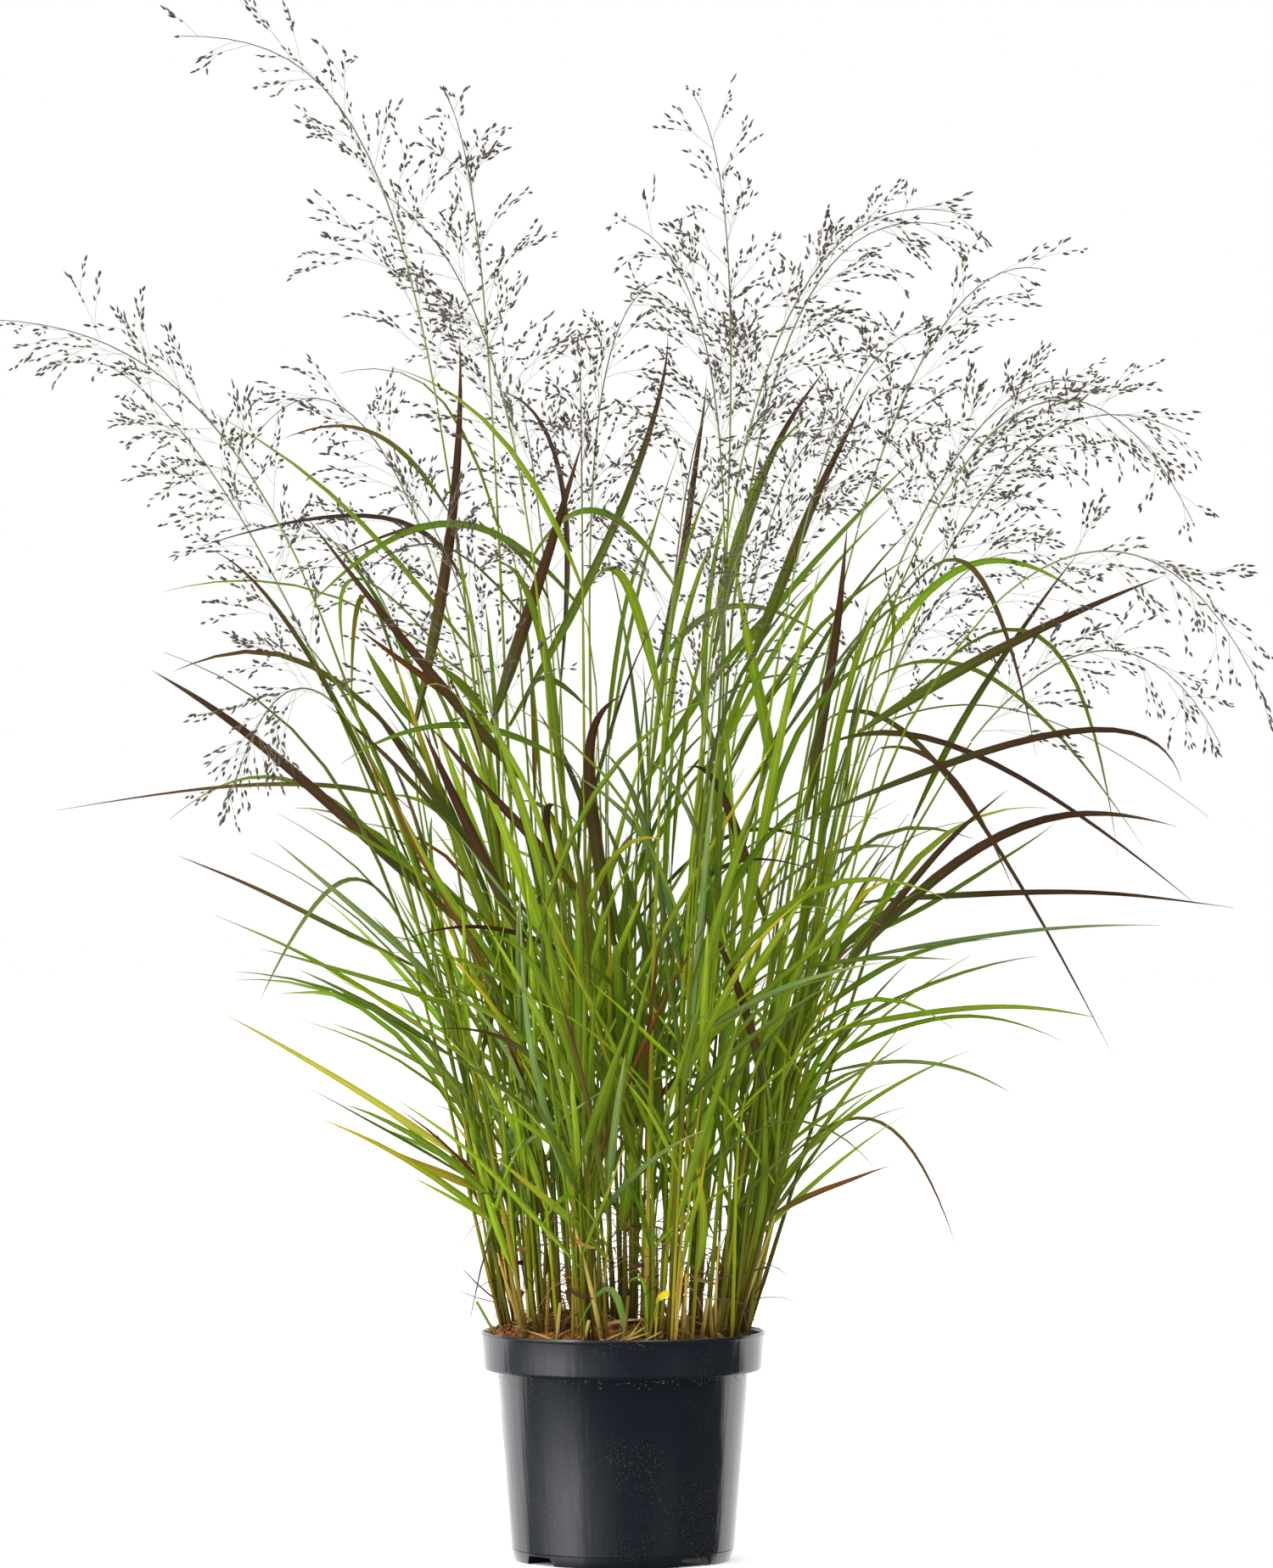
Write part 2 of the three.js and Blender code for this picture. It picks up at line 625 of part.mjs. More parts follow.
// More shoots fill up every tuft, leaning out with the fan
function drawnShoot(tuft, tuftIndex) {
  const rise = draw(...SHOOT_RISE);
  const fan = 1 + FAN_PER_MM * rise;
  const turn = draw(0, 2 * Math.PI);
  const collar = new THREE.Vector3(
    (tuft.x + FOOT_SPREAD * Math.cos(turn)) * fan,
    (tuft.y + FOOT_SPREAD * Math.sin(turn)) * fan,
    tuft.z + rise,
  );
  const azimuth = Math.atan2(tuft.y, tuft.x) + draw(-1.3, 1.3);
  const lean = draw(...SHOOT_LEAN);
  const droop = lean + draw(...LEAF_DROOP);
  const [elbow, tip] = drawnLeaf(collar, azimuth, draw(...SHOOT_LENGTH), lean, droop);
  return tryShoot(tuftIndex, collar, elbow, tip, draw(...SHOOT_WIDTH), draw(...LEAF_ROLL));
}

tufts.forEach((tuft, tuftIndex) => {
  while (tuft.strands.length < SHOOTS_PER_TUFT) accept(settle(TRIES, () => drawnShoot(tuft, tuftIndex)));
});

// A point of a strand's straight-sided body, where a leaf or branch can root in it
function chordPoint(course, stations, share) {
  const next = Math.max(1, stations.findIndex((station) => station >= share));
  const [low, high] = [stations[next - 1], stations[next]];
  return course.getPoint(low).lerp(course.getPoint(high), (share - low) / (high - low));
}

// Side leaves spring from the stems and culms of their own tuft
function drawnSideLeaf(tuft, tuftIndex) {
  const hosts = tuft.strands.filter((strand) => strand.stem || strand.curve);
  const host = hosts[Math.floor(draw(0, hosts.length))];
  const share = draw(...SIDE_PLACE);
  const root = host.stem
    ? chordPoint(host.stem, [...STEM_STATIONS, 1], share)
    : chordPoint(host.curve, CULM_STATIONS.map((station) => station * host.split), share * host.split);
  const azimuth = Math.atan2(root.y, root.x) + draw(-1.4, 1.4);
  const lean = draw(...SIDE_LEAN);
  const [elbow, tip] = drawnLeaf(root, azimuth, draw(...SIDE_LENGTH), lean, lean + draw(...LEAF_DROOP));
  const width = draw(...SIDE_WIDTH);
  const blade = bent(root, elbow, tip);
  const markers = bladeMarkers(blade, width, 0.05);
  const roll = draw(...LEAF_ROLL);
  const leaf = { blade, width, roll, heading: headingOf(root, tip), markers, tuftIndex };
  return measured(leaf, bladeMarkers(blade, width, 0.25));
}

for (let k = 0; k < SIDE_LEAVES; k += 1) {
  const tuftIndex = k % tufts.length;
  accept(settle(TRIES, () => drawnSideLeaf(tufts[tuftIndex], tuftIndex)));
}

// Sprays: branches stand round the axis a golden turn apart, shorter towards the tip
const AXIS_STATIONS = [0, 0.22, 0.45, 0.68];

function axisPlace(culm, share) {
  return culm.curve.getUtoTmapping(0, culm.curve.getLength() - culm.sprayLength * (1 - share));
}

function drawnBranch(culm, k, i, attempt) {
  const along = BRANCHED_PART[0] + (BRANCHED_PART[1] * i) / BRANCHES;
  const neck = 1 - SPIKELET_LENGTH / culm.sprayLength;
  const stations = [...AXIS_STATIONS, neck].map((share) => THREE.MathUtils.lerp(culm.start, 1, share));
  const place = axisPlace(culm, along);
  const root = chordPoint(culm.curve, stations, place);
  const tangent = culm.curve.getTangent(place);
  const turn = i * GOLDEN_TURN + k + draw(-0.5, 0.5) * (1 + attempt / 4);
  const reach = culm.reach * (1 - 0.65 * along) * draw(0.8, 1.1) * (1 - attempt / (2 * TRIES));
  const spread = draw(...BRANCH_SPREAD);
  const across = framed(tangent, culm.heading, turn)[0];
  const out = tangent.clone().multiplyScalar(Math.cos(spread)).addScaledVector(across, Math.sin(spread));
  const middle = root.clone().addScaledVector(out, 0.55 * reach);
  const tip = root.clone().addScaledVector(out, 0.96 * reach);
  tip.z -= BRANCH_SAG * reach;
  const curve = new THREE.QuadraticBezierCurve3(root, middle, tip);
  const markers = markersAlong(curve, 0.1, 1, () => SPIKELET_RADIUS);
  const room = roomFor(markers, (other) => other.owner !== `spray${k}`);
  return { curve, markers, reach, room, own: 1 };
}

culms.forEach((culm, k) => {
  culm.branches = [];
  for (let i = 0; i < BRANCHES; i += 1) {
    const branch = settle(TRIES, (attempt) => drawnBranch(culm, k, i, attempt));
    keepMarks(branch.markers, `spray${k}`);
    culm.branches.push(branch);
  }
});

// A thin three-sided strand that ends in a spikelet
function beaded(curve, stations, length, radii, heading) {
  const half = SPIKELET_LENGTH / 2 / length;
  const rings = [];
  const ring = (s, radius) => {
    const [across, up] = framed(curve.getTangent(s), heading, 0);
    rings.push(ringAround(curve.getPoint(s), across, up, 3, radius, 0));
  };
  for (const s of stations) ring(s, THREE.MathUtils.lerp(...radii, Math.min(1, 2 * s)));
  ring(1 - 2 * half, radii[1]);
  ring(1 - half, SPIKELET_RADIUS);
  return sweep(rings, curve.getPoint(1));
}

// The stretch of a culm's curve that is the spray's axis, as a curve of its own
class AxisCurve extends THREE.Curve {
  constructor(culm) {
    super();
    this.culm = culm;
  }

  getPoint(share) {
    return this.culm.curve.getPoint(THREE.MathUtils.lerp(this.culm.start, 1, share));
  }
}

function spraySolid(culm) {
  const axis = new AxisCurve(culm);
  let spray = beaded(axis, AXIS_STATIONS, culm.sprayLength, AXIS_RADIUS, culm.heading);
  culm.branches.forEach(({ curve, reach }, i) => {
    const heading = headingOf(curve.v0, curve.v2);
    spray = spray.add(beaded(curve, i % 2 ? [0, 0.5] : [0], reach, BRANCH_RADIUS, heading));
  });
  return spray;
}

function culmSolid(culm) {
  const rings = CULM_STATIONS.map((share) => {
    const t = share * culm.split;
    const [across, up] = framed(culm.curve.getTangent(t), culm.heading, 0);
    const radius = THREE.MathUtils.lerp(...CULM_RADIUS, share);
    return ringAround(culm.curve.getPoint(t), across, up, 4, radius, 0);
  });
  return sweep(rings, null);
}

function tuftSolid(tuft) {
  let clump = hexagonBlock(tuft, CROWN_RADIUS, -CROWN_DEPTH, 1.5, 2);
  for (const strand of tuft.strands) {
    const make = strand.curve ? culmSolid : strand.stem ? shootSolid : sideLeafSolid;
    clump = clump.add(make(strand));
  }
  return clump;
}

// The whole, each piece a mesh of its own
const BLACK_PLASTIC = { color: 0x1d2126, roughness: 0.3, metalness: 0 };
const PEAT = { color: 0x4a3524, roughness: 0.95, metalness: 0 };
const GREEN_LEAF = { color: 0x5d8a22, roughness: 0.6, metalness: 0 };
const DRY_HUSK = { color: 0x574b3d, roughness: 0.8, metalness: 0 };

const plant = new THREE.Group();
plant.add(meshFrom(makePot(), 'pot', BLACK_PLASTIC));
let soil = soilFilling();
for (const tuft of tufts) {
  const gap = CLEARANCE;
  soil = soil.subtract(hexagonBlock(tuft, CROWN_RADIUS + gap, -CROWN_DEPTH - gap, 20, 0));
}
plant.add(meshFrom(soil, 'soil', PEAT));
const twoDigits = (k) => String(k + 1).padStart(2, '0');
tufts.forEach((tuft, k) => {
  plant.add(meshFrom(tuftSolid(tuft), `tuft_${twoDigits(k)}`, GREEN_LEAF));
});
culms.forEach((culm, k) => {
  plant.add(meshFrom(spraySolid(culm), `spray_${twoDigits(k)}`, DRY_HUSK));
});

export default plant;
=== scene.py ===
import math
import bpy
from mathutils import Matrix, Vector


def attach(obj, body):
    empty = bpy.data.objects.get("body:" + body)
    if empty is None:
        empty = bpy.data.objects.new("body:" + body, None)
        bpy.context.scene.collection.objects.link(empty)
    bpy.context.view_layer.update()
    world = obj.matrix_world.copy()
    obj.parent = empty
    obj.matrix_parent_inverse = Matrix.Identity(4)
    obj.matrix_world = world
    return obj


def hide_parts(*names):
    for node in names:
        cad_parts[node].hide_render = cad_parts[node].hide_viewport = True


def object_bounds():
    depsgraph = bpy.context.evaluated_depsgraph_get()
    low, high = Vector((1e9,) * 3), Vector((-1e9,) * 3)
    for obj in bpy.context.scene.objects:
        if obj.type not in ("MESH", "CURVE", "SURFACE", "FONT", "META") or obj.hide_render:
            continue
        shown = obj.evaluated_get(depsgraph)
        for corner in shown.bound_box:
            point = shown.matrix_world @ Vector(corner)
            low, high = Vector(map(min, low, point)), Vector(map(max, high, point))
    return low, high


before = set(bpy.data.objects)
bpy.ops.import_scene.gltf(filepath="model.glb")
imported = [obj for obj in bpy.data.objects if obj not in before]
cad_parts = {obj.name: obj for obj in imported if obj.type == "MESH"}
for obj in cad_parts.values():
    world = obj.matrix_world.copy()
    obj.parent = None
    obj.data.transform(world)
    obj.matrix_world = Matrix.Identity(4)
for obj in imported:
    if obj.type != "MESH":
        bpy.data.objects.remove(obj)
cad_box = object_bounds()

from types import SimpleNamespace

import bpy
import numpy as np
from mathutils import Vector, noise

# Camera
# Level with the middle of the clump and five metres off, with a long lens, as such a plant is
# photographed for a catalogue. It comes first, and the clump is built in front of it.
MM = 0.001
CAMERA_PLACE = (9, -5050, 516)
CAMERA_LENS = 174

bpy.ops.object.camera_add(location=[v * MM for v in CAMERA_PLACE], rotation=(math.pi / 2, 0, 0))
camera = bpy.context.object
camera.name = "camera"
camera.data.lens = CAMERA_LENS
camera.data.clip_end = 80
bpy.context.scene.camera = camera

# Nursery pot
# A three-litre grower's pot, injection-moulded in black polypropylene as one thin shell: tapered
# wall, stepped collar with a rolled lip, and four drain channels pressed up into the base.
POT_HEIGHT = 152
RIM_RADIUS = 95
COLLAR_FOOT = 126
COLLAR_RADIUS = 92.5
BODY_RADIUS = 83.7
SEAM_HEIGHT = 7.7
SEAM_RADIUS = 74.2
FOOT_RADIUS = 72.6
WALL = 1.5
POT_SIDES = 160
POT_OUTSIDE = (
    (FOOT_RADIUS - 1.3, 0),
    (FOOT_RADIUS - 0.4, 0.2),
    (FOOT_RADIUS, 0.9),
    (SEAM_RADIUS - 0.1, SEAM_HEIGHT - 0.5),
    (SEAM_RADIUS - 0.45, SEAM_HEIGHT - 0.1),
    (SEAM_RADIUS + 0.05, SEAM_HEIGHT + 0.3),
    (BODY_RADIUS - 0.1, COLLAR_FOOT - 1),
    (BODY_RADIUS + 0.6, COLLAR_FOOT - 0.2),
    (COLLAR_RADIUS - 2.2, COLLAR_FOOT),
    (COLLAR_RADIUS - 0.9, COLLAR_FOOT + 0.4),
    (COLLAR_RADIUS - 0.2, COLLAR_FOOT + 1.3),
    (COLLAR_RADIUS + 0.05, COLLAR_FOOT + 2.6),
    (RIM_RADIUS - 1.1, POT_HEIGHT - 3.6),
    (RIM_RADIUS - 0.4, POT_HEIGHT - 2.4),
    (RIM_RADIUS, POT_HEIGHT - 1.4),
    (RIM_RADIUS, POT_HEIGHT - 0.7),
    (RIM_RADIUS - 0.3, POT_HEIGHT - 0.15),
    (RIM_RADIUS - 0.8, POT_HEIGHT),
)
POT_INSIDE = (
    (RIM_RADIUS - 1.5, POT_HEIGHT - 0.1),
    (RIM_RADIUS - 1.9, POT_HEIGHT - 0.7),
    (RIM_RADIUS - 2.2, POT_HEIGHT - 3),
    (COLLAR_RADIUS - WALL, COLLAR_FOOT + 2.4),
    (BODY_RADIUS - WALL, COLLAR_FOOT + 1.2),
    (SEAM_RADIUS - WALL, SEAM_HEIGHT),
    (FOOT_RADIUS - WALL, WALL),
)
CHANNELS = 4
CHANNEL_START = 24
CHANNEL_WIDTH = 28
CHANNEL_ROOF = 21
CHANNEL_HEIGHT = 5.7
CHANNEL_TURN = math.radians(40.75)
DRAIN_RADIUS = 4
DRAIN_PLACE = 56
DRAIN_SIDES = 24
POT_EDGE = 38


def around(radius, angle, height=0):
    """The point at a radius and an angle from the pot's axis."""
    return np.array((radius * math.cos(angle), radius * math.sin(angle), height))


def turned(name, profile, sides):
    """A round closed body, drawn up from its foot through rings of (radius, height) in mm."""
    bpy.ops.object.select_all(action="DESELECT")
    radius, height = profile[0]
    bpy.ops.mesh.primitive_circle_add(
        vertices=sides, radius=radius * MM, fill_type="NGON", location=(0, 0, height * MM)
    )
    body = bpy.context.object
    body.name = name
    bpy.ops.object.mode_set(mode="EDIT")
    bpy.ops.mesh.select_all(action="SELECT")
    for next_radius, next_height in profile[1:]:
        rise = (0, 0, (next_height - height) * MM)
        bpy.ops.mesh.extrude_region_move(TRANSFORM_OT_translate={"value": rise})
        grow = next_radius / radius
        bpy.ops.transform.resize(value=(grow, grow, 1), center_override=(0, 0, next_height * MM))
        radius, height = next_radius, next_height
    bpy.ops.mesh.select_all(action="SELECT")
    bpy.ops.mesh.normals_make_consistent(inside=False)
    bpy.ops.object.mode_set(mode="OBJECT")
    bpy.ops.object.transform_apply()
    return body


def picked(*pieces):
    """Selects these pieces alone, with the first one active."""
    bpy.ops.object.select_all(action="DESELECT")
    for piece in pieces:
        piece.select_set(True)
    bpy.context.view_layer.objects.active = pieces[0]
    return pieces[0]


def joined(pieces):
    """Several objects as one."""
    first = picked(*pieces)
    bpy.ops.object.join()
    return first


def cut(body, tool, operation):
    """Joins a tool's shape to a body, cuts it away, or keeps what both fill."""
    picked(body)
    step = body.modifiers.new("cut", "BOOLEAN")
    step.operation = operation
    step.object = tool
    step.solver = "EXACT"
    bpy.ops.object.modifier_apply(modifier=step.name)
    bpy.data.objects.remove(tool)
    return body


def channel_bars(grow, start, end, bottom):
    """The room of the drain channels as four bars, narrower at the roof."""
    bars = []
    top = CHANNEL_HEIGHT + grow
    width = CHANNEL_WIDTH + 2 * grow
    for k in range(CHANNELS):
        bpy.ops.object.select_all(action="DESELECT")
        bpy.ops.mesh.primitive_cube_add(size=MM, location=(0, 0, 0))
        bar = bpy.context.object
        bpy.ops.object.mode_set(mode="EDIT")
        bpy.ops.mesh.select_all(action="SELECT")
        bpy.ops.transform.resize(value=(width, end - start, top - bottom), center_override=(0, 0, 0))
        middle = (0, -(start + end) / 2 * MM, (top + bottom) / 2 * MM)
        bpy.ops.transform.translate(value=middle)
        bpy.ops.mesh.select_all(action="DESELECT")
        bpy.ops.object.mode_set(mode="OBJECT")
        for face in bar.data.polygons:
            face.select = face.normal.z > 0.5
        bpy.ops.object.mode_set(mode="EDIT")
        bpy.ops.mesh.select_mode(type="FACE")
        narrow = (CHANNEL_ROOF + 2 * grow) / width
        bpy.ops.transform.resize(value=(narrow, 1, 1), center_override=(0, 0, top * MM))
        bpy.ops.object.mode_set(mode="OBJECT")
        bar.rotation_euler.z = CHANNEL_TURN + k * math.tau / CHANNELS
        bpy.ops.object.transform_apply()
        bars.append(bar)
    return joined(bars)


pot = turned("nursery_pot", POT_OUTSIDE + POT_INSIDE, POT_SIDES)
covers = channel_bars(WALL, CHANNEL_START - WALL, RIM_RADIUS, 0.3)
cut(covers, turned("pot_room", POT_OUTSIDE[2:7] + ((BODY_RADIUS, COLLAR_FOOT),), POT_SIDES), "INTERSECT")
cut(pot, covers, "UNION")
cut(pot, channel_bars(0, CHANNEL_START, RIM_RADIUS, -1), "DIFFERENCE")
drains = []
for k in range(CHANNELS):
    angle = CHANNEL_TURN + k * math.tau / CHANNELS - math.pi / 2
    bpy.ops.object.select_all(action="DESELECT")
    bpy.ops.mesh.primitive_cylinder_add(vertices=DRAIN_SIDES, radius=DRAIN_RADIUS * MM, depth=12 * MM,
                                        location=around(DRAIN_PLACE, angle, CHANNEL_HEIGHT) * MM)
    drains.append(bpy.context.object)
    bpy.ops.object.transform_apply()
cut(pot, joined(drains), "DIFFERENCE")
picked(pot)
bpy.ops.object.shade_smooth_by_angle(angle=math.radians(POT_EDGE))


def colour(code):
    """An sRGB hex code as linear red, green, blue and alpha."""
    parts = [int(code[i:i + 2], 16) / 255 for i in (1, 3, 5)]
    return tuple(p / 12.92 if p <= 0.04045 else ((p + 0.055) / 1.055) ** 2.4 for p in parts) + (1,)


def fed(tree, made, settings={}, links={}):
    """Gives a node its settings and what feeds it. A node feeds another by its first output."""
    for name, value in settings.items():
        if isinstance(name, int) or name in made.inputs:
            made.inputs[name].default_value = value
        else:
            setattr(made, name, value)
    for name, source in links.items():
        if isinstance(source, bpy.types.Node):
            source = source.outputs[0]
        tree.links.new(source, made.inputs[name])
    return made


def node(tree, kind, settings={}, links={}):
    """Adds a node, with its settings and what feeds it."""
    return fed(tree, tree.nodes.new("ShaderNode" + kind), settings, links)


def finish_named(name):
    """An empty material with its tree and its surface shader."""
    made = bpy.data.materials.new(name)
    made.use_nodes = True
    return made, made.node_tree, made.node_tree.nodes["Principled BSDF"]


def worn(piece, finish):
    piece.data.materials.clear()
    piece.data.materials.append(finish)


# Black polypropylene, moulded and handled: a deep blue-black with a soft gloss. Flow marks run up
# the wall a few mm apart, and fine peat dust dulls it in specks of about half a millimetre.
pot_black, tree, shader = finish_named("moulded black polypropylene")
place = node(tree, "TexCoord").outputs["Object"]
tall = node(tree, "Mapping", {"Scale": (1, 1, 0.04)}, {"Vector": place})
flow = node(tree, "TexNoise", {"Scale": 260, "Detail": 3}, {"Vector": tall})
dust = node(tree, "TexVoronoi", {"Scale": 620}, {"Vector": place})
cloud = node(tree, "TexNoise", {"Scale": 22, "Detail": 4}, {"Vector": place})
specks = node(tree, "MapRange", {"From Min": 0.2, "From Max": 0.12}, {"Value": dust})
patchy = node(tree, "MapRange", {"From Min": 0.46, "From Max": 0.62}, {"Value": cloud})
dusty = node(tree, "Math", {"operation": "MULTIPLY"}, {0: specks, 1: patchy})
surface = node(tree, "Mix", {"data_type": "RGBA", 6: colour("#12161c"), 7: colour("#5c5044")},
               {0: dusty})
gloss = node(tree, "MapRange", {"From Min": 0.3, "From Max": 0.7, "To Min": 0.06, "To Max": 0.24},
             {"Value": flow})
relief = node(tree, "Bump", {"Strength": 0.45, "Distance": 0.0004}, {"Height": flow})
fed(tree, shader, {"Specular IOR Level": 0.4},
    {"Base Color": surface.outputs[2], "Roughness": gloss, "Normal": relief})
worn(pot, pot_black)
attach(pot, "root")
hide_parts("pot")

# Potting soil
# Brown fibrous peat, poured in and settled to just under the rim, and heaped up left of the middle
# where the old crown lifts it. Its underside clears the pot's drain channels.
GAP = 0.35
SOIL_LEVEL = 146
MOUND_RISE = 17
MOUND_X = -34
MOUND_SPREAD = 36
SOIL_WAVE = 1.1
SOIL_EDGE = COLLAR_RADIUS - WALL - GAP + 0.9
SOIL_RINGS = 44
SOIL_SIDES = 144
# Crumbs of three sizes: their spacing, their place in the noise, and their height
CRUMBLE = ((14, 3, 2.4), (6, 11, 1.6), (2.6, 29, 0.8))


def soil_height(x, y):
    """The height in mm of the settled surface."""
    mound = math.exp(-((x - MOUND_X) ** 2 + y**2) / (2 * MOUND_SPREAD**2))
    return SOIL_LEVEL + MOUND_RISE * mound + SOIL_WAVE * math.sin(x / 9) * math.cos(y / 11)


def crumbled(x, y):
    """How far the crumbs and hollows lie over or under the settled surface."""
    return sum(height * noise.noise(Vector((x / size, y / size, at))) for size, at, height in CRUMBLE)


soil_profile = [
    (FOOT_RADIUS - WALL - GAP, WALL + GAP),
    (SEAM_RADIUS - WALL - GAP, SEAM_HEIGHT),
    (BODY_RADIUS - WALL - GAP, COLLAR_FOOT + 1.2 + GAP),
    (COLLAR_RADIUS - WALL - GAP, COLLAR_FOOT + 2.4 + GAP),
    (SOIL_EDGE, SOIL_LEVEL),
]
soil_profile += [(SOIL_EDGE * (1 - k / SOIL_RINGS) + 0.2, SOIL_LEVEL) for k in range(1, SOIL_RINGS + 1)]
soil = turned("peat", soil_profile, SOIL_SIDES)
cut(soil, channel_bars(WALL + GAP, CHANNEL_START - WALL - GAP, RIM_RADIUS, 0), "DIFFERENCE")
for corner in soil.data.vertices:
    x, y, z = (v / MM for v in corner.co)
    if z > SOIL_LEVEL - 0.5:
        inward = min(1, max(0, (SOIL_EDGE - math.hypot(x, y)) / 4))
        corner.co.z = (soil_height(x, y) + inward * crumbled(x, y)) * MM
soil.data.polygons.foreach_set("use_smooth", [True] * len(soil.data.polygons))

# Damp peat, matt and fibrous: near black to red-brown in patches, in grains of one to three mm, with a
# fine fibre relief.
peat, tree, shader = finish_named("damp fibrous peat")
place = node(tree, "TexCoord").outputs["Object"]
grains = node(tree, "TexNoise", {"Scale": 420, "Detail": 5, "Roughness": 0.7}, {"Vector": place})
lumps = node(tree, "TexNoise", {"Scale": 70, "Detail": 3}, {"Vector": place})
mixed = node(tree, "Math", {"operation": "MULTIPLY"}, {0: grains, 1: lumps})
tones = node(tree, "ValToRGB", {}, {"Fac": mixed})
for stop, (at, code) in enumerate(((0.12, "#22140a"), (0.24, "#663814"), (0.36, "#a86224"))):
    if stop > 1:
        tones.color_ramp.elements.new(at)
    tones.color_ramp.elements[stop].position = at
    tones.color_ramp.elements[stop].color = colour(code)
relief = node(tree, "Bump", {"Strength": 0.9, "Distance": 0.0012}, {"Height": grains})
fed(tree, shader, {"Roughness": 0.95}, {"Base Color": tones, "Normal": relief})
worn(soil, peat)
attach(soil, "root")
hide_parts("soil")

# Litter on the soil
# Peat crumbs, root fibres, bits of straw, cut stubs and shreds of dead leaf that lie on the soil.
# One of each is modelled, and its copies are scattered, turned, bent and sized by a seeded draw.
scatter = np.random.default_rng(7)


def pattern_of(body):
    """The corners, faces and side of a modelled piece, for laying copies of it."""
    mesh = body.data
    mesh.calc_loop_triangles()
    corners = np.array([corner.co for corner in mesh.vertices], float)
    loops = np.array([loop.vertex_index for loop in mesh.loops])
    sizes = np.array([face.loop_total for face in mesh.polygons])
    under = np.repeat([face.normal.y < 0 for face in mesh.polygons], sizes)
    bpy.data.objects.remove(body)
    stations, which = np.unique(corners[:, 2].round(6), return_inverse=True)
    return SimpleNamespace(
        corners=corners, loops=loops, sizes=sizes, under=under, stations=stations, which=which
    )


def strand(section, stations):
    """A straight strand one unit long: a section drawn out through (place, width, depth)."""
    bpy.ops.object.select_all(action="DESELECT")
    bpy.ops.mesh.primitive_circle_add(vertices=len(section), fill_type="NGON")
    body = bpy.context.object
    place, width, depth = stations[0]
    for corner, (x, y) in zip(body.data.vertices, section):
        corner.co = (x * width, y * depth, 0)
    bpy.ops.object.mode_set(mode="EDIT")
    bpy.ops.mesh.select_all(action="SELECT")
    for next_place, next_width, next_depth in stations[1:]:
        bpy.ops.mesh.extrude_region_move(TRANSFORM_OT_translate={"value": (0, 0, next_place - place)})
        grow = (next_width / width, next_depth / depth, 1)
        bpy.ops.transform.resize(value=grow, center_override=(0, 0, next_place))
        place, width, depth = next_place, next_width, next_depth
    bpy.ops.mesh.select_all(action="SELECT")
    bpy.ops.mesh.normals_make_consistent(inside=False)
    bpy.ops.object.mode_set(mode="OBJECT")
    return pattern_of(body)


def round_section(sides):
    return [(math.cos(k * math.tau / sides), math.sin(k * math.tau / sides)) for k in range(sides)]


class Sheaf:
    """Copies of modelled pieces, gathered into one mesh with a tint and a course on each corner."""

    def __init__(self):
        self.corners, self.loops, self.sizes, self.tints, self.ways = [], [], [], [], []
        self.count = 0

    def lay(self, pattern, corners, tints, ways):
        self.corners.append(corners)
        self.loops.append(pattern.loops + self.count)
        self.sizes.append(pattern.sizes)
        self.tints.append(tints)
        self.ways.append(ways)
        self.count += len(corners)

    def lay_plain(self, pattern, corners, code):
        """A copy of one colour all over."""
        self.lay(pattern, corners, np.tile(colour(code)[:3], (len(pattern.loops), 1)),
                 np.zeros((len(pattern.loops), 2)))

    def piece(self, name, finish, smooth_angle):
        mesh = bpy.data.meshes.new(name)
        corners = np.concatenate(self.corners) * MM
        loops = np.concatenate(self.loops)
        sizes = np.concatenate(self.sizes)
        mesh.vertices.add(len(corners))
        mesh.vertices.foreach_set("co", corners.ravel())
        mesh.loops.add(len(loops))
        mesh.loops.foreach_set("vertex_index", loops)
        mesh.polygons.add(len(sizes))
        mesh.polygons.foreach_set("loop_start", np.concatenate(([0], np.cumsum(sizes)[:-1])))
        mesh.update(calc_edges=True)
        tints = np.concatenate(self.tints)
        tint = mesh.color_attributes.new(name="tint", type="FLOAT_COLOR", domain="CORNER")
        tint.data.foreach_set("color", np.column_stack((tints, np.ones(len(tints)))).ravel())
        course = mesh.uv_layers.new(name="course")
        course.data.foreach_set("uv", np.concatenate(self.ways).ravel())
        made = bpy.data.objects.new(name, mesh)
        bpy.context.scene.collection.objects.link(made)
        worn(made, finish)
        picked(made)
        bpy.ops.object.shade_smooth_by_angle(angle=math.radians(smooth_angle))
        return made


class Course:
    """A smooth line in space, from its two ends and the handles between them."""

    def __init__(self, *points, steps=200):
        self.points = np.array(points, float)
        self.places = np.linspace(0, 1, steps + 1)
        self.marks = None

    def at(self, t):
        t = np.asarray(t, float)[..., None]
        r = 1 - t
        p = self.points
        if len(p) == 3:
            return r * r * p[0] + 2 * r * t * p[1] + t * t * p[2]
        return r**3 * p[0] + 3 * r * r * t * p[1] + 3 * r * t * t * p[2] + t**3 * p[3]

    def heading(self, t):
        t = np.asarray(t, float)
        ahead = self.at(np.minimum(1, t + 1e-4)) - self.at(np.maximum(0, t - 1e-4))
        return ahead / np.linalg.norm(ahead, axis=-1, keepdims=True)

    def lengths(self):
        if self.marks is None:
            steps = np.linalg.norm(np.diff(self.at(self.places), axis=0), axis=1)
            self.marks = np.concatenate(([0], np.cumsum(steps)))
        return self.marks

    def length(self):
        return self.lengths()[-1]

    def reached(self, distance):
        return float(np.interp(distance, self.lengths(), self.places))


